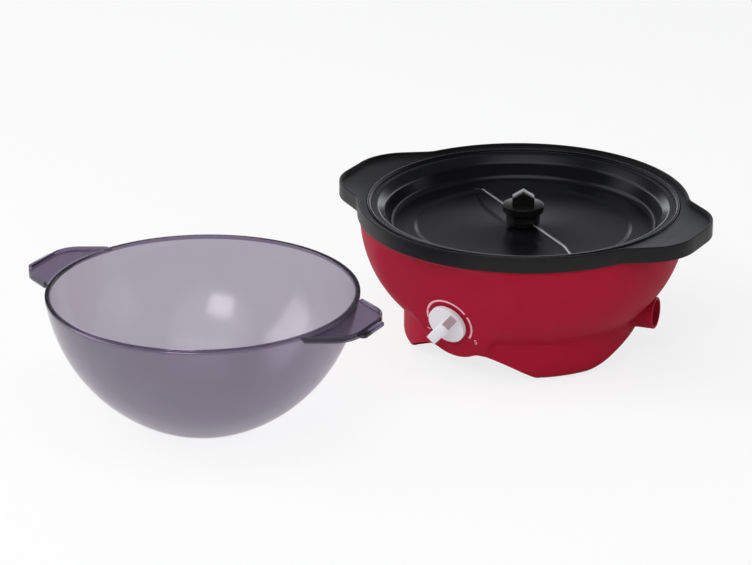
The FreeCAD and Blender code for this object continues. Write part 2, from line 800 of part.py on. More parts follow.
def pan():
    bead_inside = pan_radius - s.pan_bead_width
    wall_radius = bead_inside - s.pan_flange_width
    knee_radius = wall_radius - s.pan_knee_run
    knee_height = flange_top - s.pan_knee_drop
    floor_radius = knee_radius - s.pan_wall_run
    upper_slope = math.atan2(s.pan_knee_drop, s.pan_knee_run)
    lower_slope = math.atan2(knee_height - floor_top, s.pan_wall_run)
    boss_top = floor_top + s.pan_boss_height
    inside = s.pan_shoulder_round
    outside = inside - s.pan_sheet
    return turned([
        (s.pan_boss_bore, boss_top), (s.pan_boss_radius, boss_top, s.pan_boss_round),
        (s.pan_boss_radius, floor_top, s.pan_boss_foot_round),
        (floor_radius, floor_top, s.pan_floor_round),
        (knee_radius, knee_height, s.pan_knee_round),
        (wall_radius, flange_top, inside), (bead_inside, flange_top, s.pan_bead_round),
        (bead_inside, pan_rim, s.pan_bead_round), (pan_radius, pan_rim, s.pan_rim_round),
        (pan_radius, flange_under, s.pan_bead_round),
        under_sheet(wall_radius, flange_top, upper_slope, 0) + (outside,),
        under_sheet(knee_radius, knee_height, lower_slope, upper_slope) + (s.pan_knee_round - s.pan_sheet,),
        under_sheet(floor_radius, floor_top, 0, lower_slope) + (s.pan_floor_round + s.pan_sheet,),
        (s.pan_boss_bore, floor_under)])


add_solid("pan", pan())

gasket_outside = "collar_radius - collar_wall - ledge_width - (seat_width - gasket_width) / 2"
pan_gasket = turned_body("pan_gasket", [(gasket_outside + " - gasket_width", "0"),
                                        (gasket_outside, "0"), (gasket_outside, "gasket_thick"),
                                        (gasket_outside + " - gasket_width", "gasket_thick")])
place_body(pan_gasket, lift(seat_top))


# ---------------------------------------------------------------- heater stack
def element_leg(side):
    """Bend and leg at one end of the ring: (end of ring, middle of bend, end of bend, foot)."""
    azimuth = s.element_azimuth + side * s.element_gap_angle / 2
    end = at(azimuth, s.element_ring, element_middle)
    way = heading(azimuth - side * 90)
    bend = s.element_bend
    middle = end + way * (bend * math.sin(math.pi / 4)) + UP * (bend * (math.cos(math.pi / 4) - 1))
    turn_end = end + way * bend - UP * bend
    return end, middle, turn_end, turn_end - UP * s.element_leg


def heating_element():
    far = at(s.element_azimuth + 180, s.element_ring, element_middle)
    ends = [element_leg(side) for side in (1, -1)]
    edges = [Part.LineSegment(ends[0][3], ends[0][2]).toShape(),
             Part.Arc(ends[0][2], ends[0][1], ends[0][0]).toShape(),
             Part.Arc(ends[0][0], far, ends[1][0]).toShape(),
             Part.Arc(ends[1][0], ends[1][1], ends[1][2]).toShape(),
             Part.LineSegment(ends[1][2], ends[1][3]).toShape()]
    section = Part.Wire(Part.makeCircle(s.element_radius, ends[0][3], UP))
    return Part.Wire(edges).makePipeShell([section], True, False)


def leg_holes():
    """Bound places of the two holes that the legs of the ring pass."""
    holes = []
    for side in (1, -1):
        azimuth = f"(element_azimuth + {side} * element_gap_angle / 2)"
        x = f"element_ring * sin({azimuth} * 1 deg) - {side} * element_bend * cos({azimuth} * 1 deg)"
        y = f"-element_ring * cos({azimuth} * 1 deg) - {side} * element_bend * sin({azimuth} * 1 deg)"
        holes.append(("element_radius + element_hole_gap", (x, y)))
    return holes


def stud_holes(radius):
    return [(radius, spot_expression("stud_pitch", azimuth)) for azimuth in STUD_AZIMUTHS]


add_solid("heating_element", heating_element())
clamp_plate = disc_body("clamp_plate", "clamp_radius", "clamp_sheet",
                        [("clamp_bore", ("0", "0"))] + leg_holes()
                        + stud_holes("stud_radius + screw_gap"))
place_body(clamp_plate, lift(clamp_under))

frame_sides = ("-(frame_left - frame_post_inset)", "(frame_right - frame_post_inset)")
frame_ends = ("-(frame_front - frame_post_inset)", "(frame_back - frame_post_inset)")
frame_corners = [(x, y) for x in frame_sides for y in frame_ends]
frame_spots = [Vector(value_of(x), value_of(y), 0) for x, y in frame_corners]
shield_holes = [("shield_bore", ("0", "0"))] + leg_holes() + stud_holes("stud_radius + screw_gap")
shield_holes += [("rivet_radius + press_gap", place) for place in frame_corners]
shield_edge = "(collar_radius - collar_wall - slip_gap - shield_inset)"
shield_screw_circle = f"({shield_edge} - shield_screw_inset)"
shield_holes += [("screw_radius + screw_gap", spot_expression(shield_screw_circle, azimuth))
                 for azimuth in SHIELD_SCREW_AZIMUTHS]
heat_shield = disc_body("heat_shield", shield_edge, "shield_sheet", shield_holes)
place_body(heat_shield, lift(shield_under))

add_solid("pan_studs", Part.makeCompound(
    [cylinder(s.stud_radius, floor_under - s.stud_length, floor_under, at(azimuth, s.stud_pitch, 0))
     for azimuth in STUD_AZIMUTHS]))
add_solid("spacers", Part.makeCompound(
    [cylinder(s.spacer_radius, shield_top, clamp_under, at(azimuth, s.stud_pitch, 0)).cut(
        cylinder(s.stud_radius + s.screw_gap, shield_top, clamp_under, at(azimuth, s.stud_pitch, 0)))
     for azimuth in STUD_AZIMUTHS]))


def hexagon(radius, bottom, top, centre=ORIGIN):
    turns = [math.pi * k / 3 for k in range(6)]
    corners = [(centre.x + radius * math.cos(turn), centre.y + radius * math.sin(turn)) for turn in turns]
    return prism(rounded_outline(corners), bottom, top)


def pan_nut(azimuth):
    middle = at(azimuth, s.stud_pitch, 0)
    bottom = shield_under - s.nut_height
    nut = hexagon(s.nut_radius, bottom, shield_under, middle)
    return nut.cut(cylinder(s.stud_radius + s.press_gap, bottom, shield_under, middle))


add_solid("pan_nuts", Part.makeCompound([pan_nut(azimuth) for azimuth in STUD_AZIMUTHS]))
add_solid("shield_screws", Part.makeCompound(
    [screw(shield_top + s.screw_head_height, s.shield_sheet + s.lug_thick - s.screw_end_gap,
           at(azimuth, shield_screw_pitch, 0), upward=False)
     for azimuth in SHIELD_SCREW_AZIMUTHS]))

# disc cut-out under the clamp plate
cutout_spot = at(s.cutout_azimuth, s.cutout_pitch, 0)
cutout_case = cylinder(s.cutout_radius, clamp_under - s.cutout_height, clamp_under, cutout_spot)
add_solid("thermal_cutout", cutout_case)


# ---------------------------------------------------------------- gearmotor frame
def mount_post(spot):
    rivet_top = shield_top + s.rivet_head_height
    post = cylinder(s.post_radius, frame_top, shield_under, spot)
    post = post.fuse(cylinder(s.rivet_radius, shield_under, rivet_top, spot))
    post = post.fuse(cylinder(s.rivet_head_radius, shield_top, rivet_top, spot))
    bore_top = frame_top + s.frame_screw_grip + s.screw_end_gap
    return post.cut(cylinder(tapping, frame_top - CUT_PAST, bore_top, spot))


def pillar(spot):
    tube = cylinder(s.post_radius, lower_plate_top, upper_plate_under, spot)
    return tube.cut(cylinder(through, lower_plate_top, upper_plate_under, spot))


add_solid("mount_posts", Part.makeCompound([mount_post(spot) for spot in frame_spots]))
add_solid("frame_pillars", Part.makeCompound([pillar(spot) for spot in frame_spots]))
frame_screw_length = 2 * s.frame_sheet + s.frame_space + s.frame_screw_grip
add_solid("frame_screws", Part.makeCompound(
    [screw(lower_plate_under - s.screw_head_height, frame_screw_length, spot) for spot in frame_spots]))

idler_place = "gear_module / 2 * (output_teeth + pinion_teeth)"
motor_place = "gear_module / 2 * (idler_teeth + pinion_teeth)"
MOTOR_SCREW_TURNS = (60, 240)
motor_screw_places = [(f"{idler_place} + motor_screw_pitch * cos({turn} deg)",
                       f"{motor_place} + motor_screw_pitch * sin({turn} deg)")
                      for turn in MOTOR_SCREW_TURNS]
motor_screw_spots = [Vector(value_of(x), value_of(y), 0) for x, y in motor_screw_places]


def frame_plate(label, holes):
    """Plate of the gearmotor frame, with its four screw holes and its bearing holes."""
    body = doc.addObject("PartDesign::Body", label)
    body.Label = label
    sketch = body_sketch(body, label + "_outline", "XY_Plane")
    pin_polygon(sketch, [("-frame_left", "-frame_front"), ("frame_right", "-frame_front"),
                         ("frame_right", "frame_back"), ("-frame_left", "frame_back")])
    for place in frame_corners:
        pin_circle(sketch, "screw_radius + screw_gap", place)
    for radius, place in holes:
        pin_circle(sketch, radius, place)
    padded(body, label + "_sheet", sketch, "frame_sheet")
    return body


bush_hole = ("bush_radius + press_gap", ("0", "0"))
pin_hole = ("pin_radius + press_gap", (idler_place, "0"))
rotor_hole = ("pin_radius + turn_gap", (idler_place, motor_place))
motor_holes = [("screw_radius + press_gap", place) for place in motor_screw_places]
lower_plate = frame_plate("frame_plate_lower", [bush_hole, pin_hole, rotor_hole] + motor_holes)
place_body(lower_plate, lift(lower_plate_under))
upper_plate = frame_plate("frame_plate_upper", [bush_hole, pin_hole])
place_body(upper_plate, lift(upper_plate_under))


# ---------------------------------------------------------------- gears
def involute_gear(teeth, bottom, top, turn=0.0):
    """Spur gear about Z with one tooth on the ray at a turn in degrees, thinned for backlash."""
    module = s.gear_module
    pitch = module * teeth / 2
    base = pitch * math.cos(math.radians(PRESSURE_ANGLE))
    tip = pitch + module
    root = pitch - DEDENDUM * module

    def involute(radius):
        pressure = math.acos(min(1.0, base / radius))
        return math.tan(pressure) - pressure

    half = math.pi / (2 * teeth) - s.gear_backlash / (2 * pitch) + involute(pitch)
    start = max(base, root)
    radii = [start + (tip - start) * k / 4 for k in range(5)]
    undercut = root < start
    points = []
    for tooth in range(teeth):
        middle = math.radians(turn) + 2 * math.pi * tooth / teeth

        def spot(radius, angle):
            return Vector(radius * math.cos(angle), radius * math.sin(angle), bottom)

        right = [spot(radius, middle - half + involute(radius)) for radius in radii]
        left = [spot(radius, middle + half - involute(radius)) for radius in reversed(radii)]
        points += [spot(root, middle - half)] * undercut + right
        points += left + [spot(root, middle + half)] * undercut
    return Part.Face(Part.makePolygon(points + points[:1])).extrude(UP * (top - bottom))


def meshed_turn(turn, teeth, way, next_teeth):
    """Turn, in degrees, that puts a gear's gap on the first gear's tooth, seen along a way."""
    phase = ((way - turn) / (360 / teeth)) % 1
    return way + 180 - 360 / next_teeth * (0.5 - phase)


idler_low = lower_plate_top + s.idler_lift
idler_high = idler_low + s.gear_face
output_low = idler_high + s.gear_float
output_high = output_low + s.output_face
idler_top = upper_plate_under - s.slip_gap
idler_turn = meshed_turn(0, s.output_teeth, 0, s.pinion_teeth)
rotor_turn = meshed_turn(idler_turn, s.idler_teeth, 90, s.pinion_teeth)


def output_gear():
    gear = involute_gear(int(s.output_teeth), output_low, output_high)
    hub_low = lower_plate_top + s.bush_flange_thick + s.slip_gap
    hub = cylinder(s.gear_hub_radius, hub_low, output_high)
    bore = cylinder(s.shaft_radius + s.press_gap, hub_low, output_high)
    return gear.fuse(hub).cut(bore).removeSplitter()


def idler_gear():
    wheel = involute_gear(int(s.idler_teeth), idler_low, idler_high, idler_turn)
    pinion = involute_gear(int(s.pinion_teeth), idler_high, output_high + s.gear_float, idler_turn)
    hub = cylinder(2 * s.pin_radius, lower_plate_top + s.slip_gap, idler_top)
    bore = cylinder(s.pin_radius + s.turn_gap, lower_plate_top, idler_top)
    shape = wheel.fuse(pinion).fuse(hub).cut(bore).removeSplitter()
    shape.translate(Vector(idler_x, 0, 0))
    return shape


motor_bottom = lower_plate_under - s.motor_height


def motor_rotor():
    core_low = lower_plate_under - s.rotor_height - s.rotor_drop
    core = cylinder(s.rotor_radius, core_low, core_low + s.rotor_height)
    shaft = cylinder(s.pin_radius, motor_bottom - s.motor_sheet, idler_high)
    pinion_low = lower_plate_top + s.slip_gap
    pinion = involute_gear(int(s.pinion_teeth), pinion_low, idler_high, rotor_turn)
    shape = core.fuse(shaft).fuse(pinion).removeSplitter()
    shape.translate(Vector(idler_x, motor_y, 0))
    return shape


add_solid("output_gear", output_gear())
add_solid("idler_gear", idler_gear())
add_solid("motor_rotor", motor_rotor())

pin_length = "(frame_space + 2 * frame_sheet)"
idler_pin = turned_body("idler_pin", [("0", "0"), ("pin_radius", "0"), ("pin_radius", pin_length),
                                      ("2 * pin_radius", pin_length),
                                      ("2 * pin_radius", pin_length + " + rivet_head_height"),
                                      ("0", pin_length + " + rivet_head_height")])
place_body(idler_pin, Placement(Vector(idler_x, 0, lower_plate_under), Rotation()))


def motor_can():
    """Drawn can, open at the top, with two ears that are screwed to the lower plate."""
    floor = motor_bottom + s.motor_sheet
    inner = s.motor_radius - s.motor_sheet
    ear_low = lower_plate_under - s.motor_sheet
    bore = s.pin_radius + s.turn_gap
    can = turned([(bore, motor_bottom), (s.motor_radius, motor_bottom, s.motor_round),
                  (s.motor_radius, lower_plate_under), (inner, lower_plate_under),
                  (inner, floor, s.motor_inside_round), (bore, floor)])
    ear_half = s.screw_head_radius + s.motor_sheet
    for turn in MOTOR_SCREW_TURNS:
        ear = block(s.motor_screw_pitch - inner, 2 * ear_half, ear_low, lower_plate_under, inner)
        middle = Vector(s.motor_screw_pitch, 0, 0)
        ear = ear.fuse(cylinder(ear_half, ear_low, lower_plate_under, middle))
        ear = ear.cut(cylinder(through, ear_low, lower_plate_under, middle))
        can = can.fuse(around(ear.cut(cylinder(inner, ear_low, lower_plate_under)), turn + 90))
    can = can.removeSplitter()
    can.translate(Vector(idler_x, motor_y, 0))
    return can


add_solid("motor_can", motor_can())
add_solid("motor_screws", Part.makeCompound(
    [screw(lower_plate_under - s.motor_sheet - s.screw_head_height,
           s.motor_sheet + s.frame_sheet, spot) for spot in motor_screw_spots]))

coil_radius = "motor_radius - motor_sheet - press_gap"
motor_coil = turned_body("motor_coil", [("coil_bore", "0"), (coil_radius, "0"),
                                        (coil_radius, "coil_height"), ("coil_bore", "coil_height")])
coil_low = motor_bottom + s.motor_sheet + s.press_gap + s.motor_inside_round
place_body(motor_coil, Placement(Vector(idler_x, motor_y, coil_low), Rotation()))

# ---------------------------------------------------------------- drive shaft and its bearings
shaft_bottom = lower_plate_under - s.shaft_tail
shaft_top = floor_top + s.shaft_above_floor
groove_low = lower_plate_under - s.slip_gap - s.clip_sheet - 2 * s.turn_gap


def shaft_section(bottom, top, grow):
    """Round shaft with one flat, grown by a clearance."""
    length = 2 * s.shaft_radius
    flat = Part.makeBox(length, 2 * length, top - bottom, Vector(s.shaft_flat + grow, -length, bottom))
    return cylinder(s.shaft_radius + grow, bottom, top).cut(flat)


def drive_shaft():
    flat_low = floor_top + s.hub_gap + s.hub_cavity_height - s.shaft_flat_past
    shape = cylinder(s.shaft_radius, shaft_bottom, flat_low).fuse(shaft_section(flat_low, shaft_top, 0))
    neck_high = groove_low + s.clip_sheet + 2 * s.turn_gap
    groove = cylinder(s.shaft_radius + CUT_PAST, groove_low, neck_high)
    groove = groove.cut(cylinder(s.shaft_radius - s.clip_groove, groove_low, neck_high))
    return shape.cut(groove)


def shaft_clip():
    low = groove_low + s.turn_gap
    high = low + s.clip_sheet
    ring = cylinder(s.clip_radius, low, high)
    ring = ring.cut(cylinder(s.shaft_radius - s.clip_groove + s.press_gap, low, high))
    return ring.cut(block(s.clip_radius + CUT_PAST, 2 * s.shaft_flat, low, high))


def shaft_bush(plate_level, way):
    """Flanged bush through a frame plate, with its flange on the gears' side."""
    bush = turned([(bearing, 0), (s.bush_radius, 0), (s.bush_radius, s.frame_sheet),
                   (s.bush_flange, s.frame_sheet),
                   (s.bush_flange, s.frame_sheet + s.bush_flange_thick),
                   (bearing, s.frame_sheet + s.bush_flange_thick)])
    if way < 0:
        bush.rotate(ORIGIN, Vector(1, 0, 0), 180)
    bush.translate(Vector(0, 0, plate_level))
    return bush


add_solid("drive_shaft", drive_shaft())
add_solid("shaft_clip", shaft_clip())
shaft_bushes = [shaft_bush(lower_plate_under, 1), shaft_bush(frame_top, -1)]
add_solid("shaft_bushes", Part.makeCompound(shaft_bushes))

bush_length = "(pan_sheet + pan_boss_height - seal_height - slip_gap)"
pan_bush = turned_body("pan_bush", [
    ("shaft_radius + turn_gap", "-bush_flange_thick"), ("bush_flange", "-bush_flange_thick"),
    ("bush_flange", "0"), ("pan_boss_bore - press_gap", "0"), ("pan_boss_bore - press_gap", bush_length),
    ("shaft_radius + turn_gap", bush_length)])
place_body(pan_bush, lift(floor_under))
shaft_seal = turned_body("shaft_seal", [
    ("shaft_radius + turn_gap", "0"), ("pan_boss_bore - press_gap", "0"),
    ("pan_boss_bore - press_gap", "seal_height"), ("shaft_radius + turn_gap", "seal_height")])
place_body(shaft_seal, lift(floor_top + s.pan_boss_height - s.seal_height))

# ---------------------------------------------------------------- stirrer
hub_low = floor_top + s.hub_gap
tier_top = hub_low + s.hub_tier_height
disc_top = tier_top + s.hub_disc_height
arm_level = floor_top + s.arm_above_floor
hub_bore = s.hub_tier_radius - s.hub_wall
wire_ring = s.hub_tier_radius - s.hub_wall / 2


def wire_shape(radius):
    """Ring inside the hub wall with two arms that slope down to the pan floor at their ends."""
    toe_level = floor_top + s.arm_toe_gap + s.arm_radius
    wire = Part.makeTorus(wire_ring, radius, Vector(0, 0, arm_level))
    path = rounded_outline([(wire_ring, arm_level), (s.arm_reach, arm_level, s.arm_bend),
                            (s.arm_toe_reach, toe_level)], closed=False)
    path.rotate(ORIGIN, Vector(1, 0, 0), 90)
    section = Part.Wire(Part.makeCircle(radius, Vector(wire_ring, 0, arm_level), Vector(1, 0, 0)))
    arm = path.makePipeShell([section], True, False)
    for azimuth in (s.arm_azimuth, s.arm_azimuth + 180):
        wire = wire.fuse(around(arm, azimuth))
    return wire


def stirrer_hub():
    """Disc and gabled grip over the upper half of the tier, with a flatted socket."""
    tier = turned([(hub_bore, arm_level), (s.hub_tier_radius, arm_level), (s.hub_tier_radius, tier_top),
                   (s.hub_disc_radius, tier_top, s.hub_round), (s.hub_disc_radius, disc_top, s.hub_round),
                   (0, disc_top), (0, hub_low + s.hub_cavity_height),
                   (hub_bore, hub_low + s.hub_cavity_height)])
    half = s.grip_width / 2
    root = disc_top - CUT_PAST
    gable = rounded_outline([(-half, root), (half, root),
                             (half, disc_top + s.grip_eaves), (0, disc_top + s.grip_ridge),
                             (-half, disc_top + s.grip_eaves)])
    gable.rotate(ORIGIN, Vector(1, 0, 0), 90)
    gable.translate(Vector(0, s.grip_depth / 2, 0))
    grip = around(Part.Face(gable).extrude(Vector(0, -s.grip_depth, 0)), s.grip_azimuth + 90)
    socket = shaft_section(hub_low, shaft_top + s.slip_gap, s.turn_gap)
    return tier.fuse(grip).cut(socket).cut(wire_shape(s.arm_radius + s.press_gap)).removeSplitter()


def stirrer_ring():
    """Ring that closes the tier from below and traps the wire."""
    groove = s.ring_groove
    mark = hub_low + s.ring_mark
    ring = turned([(hub_bore, hub_low), (s.hub_tier_radius - groove, hub_low),
                   (s.hub_tier_radius, hub_low + groove), (s.hub_tier_radius, mark),
                   (s.hub_tier_radius - groove, mark), (s.hub_tier_radius - groove, mark + groove),
                   (s.hub_tier_radius, mark + groove), (s.hub_tier_radius, arm_level),
                   (hub_bore, arm_level)])
    return ring.cut(wire_shape(s.arm_radius + s.press_gap))


add_solid("stirrer_hub", stirrer_hub())
add_solid("stirrer_ring", stirrer_ring())
add_solid("stirrer_wire", wire_shape(s.arm_radius))

# ---------------------------------------------------------------- heat control and knob
case = doc.addObject("Part::Box", "control_case")
for size in ("Length", "Width"):
    case.setExpression(size, bind("control_side"))
    case.setExpression("Placement.Base." + ("x" if size == "Length" else "y"), bind("-control_side / 2"))
case.setExpression("Height", bind("control_depth"))
case.setExpression("Placement.Base.z", bind("-dial_pad_depth - control_depth"))
neck = doc.addObject("Part::Cylinder", "control_neck")
neck.setExpression("Radius", bind("control_neck_radius"))
neck.setExpression("Height", bind("dial_pad_depth + control_neck_past + turn_gap"))
neck.setExpression("Placement.Base.z", bind("-dial_pad_depth - turn_gap"))
shaft_bore = doc.addObject("Part::Cylinder", "control_bore")
shaft_bore.setExpression("Radius", bind("shaft_radius + turn_gap"))
shaft_bore.setExpression("Height", bind("control_shaft_inside + dial_pad_depth + control_neck_past"))
shaft_bore.setExpression("Placement.Base.z", bind("-control_shaft_inside - dial_pad_depth"))
control_solid = doc.addObject("Part::Fuse", "control_solid")
control_solid.Base = case
control_solid.Tool = neck
heat_control = doc.addObject("Part::Cut", "heat_control")
heat_control.Label = "heat_control"
heat_control.Base = control_solid
heat_control.Tool = shaft_bore
heat_control.Placement = panel_frame

knob_top = s.knob_lift + s.knob_flange + s.knob_bar_height
shaft_grip_top = knob_top - s.knob_wall
control_end = "(knob_lift + knob_flange + knob_bar_height - knob_wall - slip_gap)"
control_shaft = turned_body("control_shaft", [
    ("0", "-(control_shaft_inside + dial_pad_depth - slip_gap)"),
    ("shaft_radius", "-(control_shaft_inside + dial_pad_depth - slip_gap)"),
    ("shaft_radius", control_end), ("0", control_end)])
place_body(control_shaft, panel_frame)

nut = hexagon(s.control_nut_radius, s.turn_gap, s.turn_gap + s.control_nut_height)
nut = nut.cut(cylinder(s.control_neck_radius + s.press_gap, 0, 2 * s.control_nut_height))
add_solid("control_nut", nut, panel_frame)

bar_foot = s.knob_lift + s.knob_flange


def marker_shape(border, thick):
    """Thin plate on the sloping end of the grip bar."""
    start = Vector(s.knob_slope_start, 0, knob_top)
    end = Vector(s.knob_radius, 0, bar_foot + s.knob_slope_foot)
    along = (end - start).normalize()
    inward = Vector(along.z, 0, -along.x) * thick
    first, last = start + along * border, end - along * border
    corners = [first, last, last + inward, first + inward, first]
    width = s.knob_bar_width - 2 * border
    face = Part.Face(Part.makePolygon([corner - Vector(0, width / 2, 0) for corner in corners]))
    return face.extrude(Vector(0, width, 0))


def knob():
    """Flanged disc with a grip bar whose far end slopes down to the rim."""
    roof = bar_foot - s.knob_wall
    flange = turned([(s.knob_radius - s.knob_wall, s.knob_lift), (s.knob_radius, s.knob_lift),
                     (s.knob_radius, bar_foot, s.knob_round), (0, bar_foot), (0, s.knob_boss_lift),
                     (s.knob_boss_radius, s.knob_boss_lift), (s.knob_boss_radius, roof),
                     (s.knob_radius - s.knob_wall, roof)])
    side = rounded_outline([(-s.knob_radius, roof), (-s.knob_radius, knob_top, s.knob_bar_round),
                            (s.knob_slope_start, knob_top),
                            (s.knob_radius, bar_foot + s.knob_slope_foot), (s.knob_radius, roof)])
    side.rotate(ORIGIN, Vector(1, 0, 0), 90)
    side.translate(Vector(0, s.knob_bar_width / 2, 0))
    bar = Part.Face(side).extrude(Vector(0, -s.knob_bar_width, 0))
    bar = bar.common(cylinder(s.knob_radius, 0, 2 * knob_top))
    bore = cylinder(s.shaft_radius + s.press_gap, 0, shaft_grip_top)
    pocket = marker_shape(s.marker_border, s.marker_thick)
    return flange.fuse(bar).cut(bore).cut(pocket).removeSplitter()


knob_frame = panel_frame.multiply(Placement(ORIGIN, Rotation(UP, s.knob_rest_angle)))
add_solid("knob", knob(), knob_frame)
add_solid("knob_marker", marker_shape(s.marker_border + s.press_gap, s.marker_thick), knob_frame)

# ---------------------------------------------------------------- bottom plate
plate_screw_holes = [("screw_radius + screw_gap", spot_expression("plate_boss_pitch", azimuth))
                     for azimuth in ("front_foot_azimuth * 1", "-front_foot_azimuth * 1", "180")]
base_plate = disc_body("base_plate", "skirt_radius - shell_wall - plate_edge_gap", "plate_sheet",
                       plate_screw_holes)
vent_sketch = body_sketch(base_plate, "base_plate_vent", "XY_Plane")
vent_far = "(vent_pitch + vent_length)"
pin_polygon(vent_sketch, [("vent_pitch", "-vent_width / 2"), (vent_far, "-vent_width / 2"),
                          (vent_far, "vent_width / 2"), ("vent_pitch", "vent_width / 2")])
vent = base_plate.newObject("PartDesign::Pocket", "base_plate_slot")
vent.Profile = vent_sketch
vent.Type = "ThroughAll"
vent.Midplane = True
vents = base_plate.newObject("PartDesign::PolarPattern", "base_plate_slots")
vents.Originals = [vent]
vents.Axis = (vent_sketch, ["N_Axis"])
vents.Angle = 360
vents.setExpression("Occurrences", bind("vent_count"))
base_plate.Tip = vents
place_body(base_plate, lift(base_plate_under))
add_solid("base_screws", Part.makeCompound(
    [screw(base_plate_under - s.screw_head_height, s.plate_sheet + s.screw_bite - s.screw_end_gap,
           at(azimuth, s.plate_boss_pitch, 0)) for azimuth in FOOT_AZIMUTHS]))

# terminal block on the bottom plate beside the cord entry
BLOCK_SCREW_SIDES = (-1, 0, 1)
block_placement = turn_to(s.cord_azimuth)
block_shape = block(s.block_width, s.block_length, base_plate_top, base_plate_top + s.block_height,
                    s.block_pitch - s.block_width / 2)
block_screw_depth = s.block_height / 2
for step in BLOCK_SCREW_SIDES:
    spot = Vector(s.block_pitch, step * s.block_screw_pitch, 0)
    top = base_plate_top + s.block_height
    head_bore = cylinder(s.screw_head_radius + s.press_gap, top - s.screw_head_height, top, spot)
    block_shape = block_shape.cut(head_bore)
    block_shape = block_shape.cut(cylinder(tapping, top - block_screw_depth, top, spot))
add_solid("terminal_block", block_shape, block_placement)
block_screws = Part.makeCompound(
    [screw(base_plate_top + s.block_height, block_screw_depth - s.screw_head_height,
           Vector(s.block_pitch, step * s.block_screw_pitch, 0), upward=False)
     for step in BLOCK_SCREW_SIDES])
add_solid("terminal_screws", block_screws, block_placement)


# ---------------------------------------------------------------- serving bowl
def bowl_outline(inset, bottom, top):
    """Outline of the bowl's side as one arc down to its flat bottom, drawn in by an inset."""
    foot, rim = Vector(s.bowl_floor_radius, 0, 0), Vector(s.bowl_radius, s.bowl_height, 0)
    chord = rim - foot
    inward = Vector(-chord.y, chord.x, 0).normalize()
    middle = (foot + rim) / 2 + inward * math.sqrt(s.bowl_curve ** 2 - (chord.Length / 2) ** 2)
    curve = s.bowl_curve - inset

    def turn_at(level):
        return -math.degrees(math.asin((middle.y - level) / curve))

    side = arc_between(middle, curve, turn_at(bottom), turn_at(top))
    low, high = side.Vertexes[0].Point, side.Vertexes[-1].Point
    if low.y > high.y:
        low, high = high, low
    rest = Part.makePolygon([high, Vector(0, high.y, 0), Vector(0, low.y, 0), low])
    return Part.Wire([side] + rest.Edges)


def serving_bowl():
    rim = s.bowl_height
    ear_reach = s.bowl_radius + s.ear_length
    plan = ear_plan(s.bowl_radius, ear_reach, s.ear_spread, s.ear_neck, s.ear_sweep,
                    s.ear_tip_width, s.ear_round)
    inner_plan = drawn_in(plan, s.ear_border)
    shape = revolved(bowl_outline(0, 0, rim))
    tab_low = rim - s.ear_border_height
    tab_half = s.ear_tab_width / 2
    tab_start, tab_end = ear_reach - 2 * s.ear_border, ear_reach + s.ear_tab_past
    tab_plan = rounded_outline([(tab_start, -tab_half), (tab_end, -tab_half, s.ear_tab_round),
                                (tab_end, tab_half, s.ear_tab_round), (tab_start, tab_half)])
    web_top = rim - s.ear_drop
    for azimuth in (s.ear_azimuth, s.ear_azimuth + 180):
        ear = prism(plan, tab_low, rim)
        ear = ear.cut(prism(inner_plan, web_top, rim + CUT_PAST))
        ear = ear.cut(prism(inner_plan, 0, web_top - s.ear_web))
        ear = ear.fuse(prism(tab_plan, tab_low, web_top).cut(prism(inner_plan, 0, rim)))
        shape = shape.fuse(around(ear.cut(revolved(bowl_outline(s.bowl_wall / 2, 0, rim))), azimuth))
    rim_ring = cylinder(s.bowl_radius, rim - s.bowl_rim_height, rim)
    shape = shape.fuse(rim_ring)
    hollow = revolved(bowl_outline(s.bowl_wall, s.bowl_wall, rim - s.bowl_rim_height))
    mouth = cylinder(s.bowl_radius - s.bowl_rim_width, rim - 2 * s.bowl_rim_height, rim + CUT_PAST)
    return shape.cut(hollow).cut(mouth).removeSplitter()


add_solid("serving_bowl", serving_bowl(), Placement(Vector(s.bowl_x, s.bowl_y, 0), Rotation()))

# ---------------------------------------------------------------- checks and files
doc.removeObject(sheet_probe.Name)
doc.recompute()
for item in doc.Objects:
    if "Invalid" in item.State or "Error" in item.State:
        raise RuntimeError(f"{item.Label} did not compute: {item.State}")

SCRATCH = ("control_case", "control_neck", "control_bore", "control_solid")
pieces = [item for item in doc.Objects
          if item.isDerivedFrom("Part::Feature") and item.getParentGeoFeatureGroup() is None
          and item.Label not in SCRATCH]
for piece in pieces:
    shape = piece.Shape
    if shape.isNull() or not shape.isValid() or shape.Volume <= 0:
        raise RuntimeError(f"{piece.Label} has no sound shape")
    shape.exportStep(f"parts/{piece.Label}.step")
    print(f"{piece.Label:18} {len(shape.Solids)} solid(s) {shape.Volume / 1000:9.2f} cm3")
print(len(pieces), "pieces")
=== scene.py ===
# Looks of a stirring popcorn popper and its serving bowl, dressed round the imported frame.
from math import acos, asin, atan2, cos, degrees, hypot, pi, radians, sin, sqrt, tan

import bmesh
import bpy
from mathutils import Matrix, Vector


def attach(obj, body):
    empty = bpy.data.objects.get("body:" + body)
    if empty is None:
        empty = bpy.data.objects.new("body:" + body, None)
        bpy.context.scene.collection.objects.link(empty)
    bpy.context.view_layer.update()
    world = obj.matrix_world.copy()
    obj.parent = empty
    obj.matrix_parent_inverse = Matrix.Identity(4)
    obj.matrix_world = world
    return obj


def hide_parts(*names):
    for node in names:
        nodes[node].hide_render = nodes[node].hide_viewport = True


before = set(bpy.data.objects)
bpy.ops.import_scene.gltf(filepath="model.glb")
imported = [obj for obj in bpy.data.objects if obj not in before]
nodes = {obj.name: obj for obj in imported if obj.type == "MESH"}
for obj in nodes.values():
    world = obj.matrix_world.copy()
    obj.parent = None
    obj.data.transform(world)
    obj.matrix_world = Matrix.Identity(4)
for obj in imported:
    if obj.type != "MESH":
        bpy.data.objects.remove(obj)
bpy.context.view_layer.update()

mm = 0.001  # pieces are set out in millimetres and degrees, and made in metres
print("frame loaded:", len(nodes), "nodes")


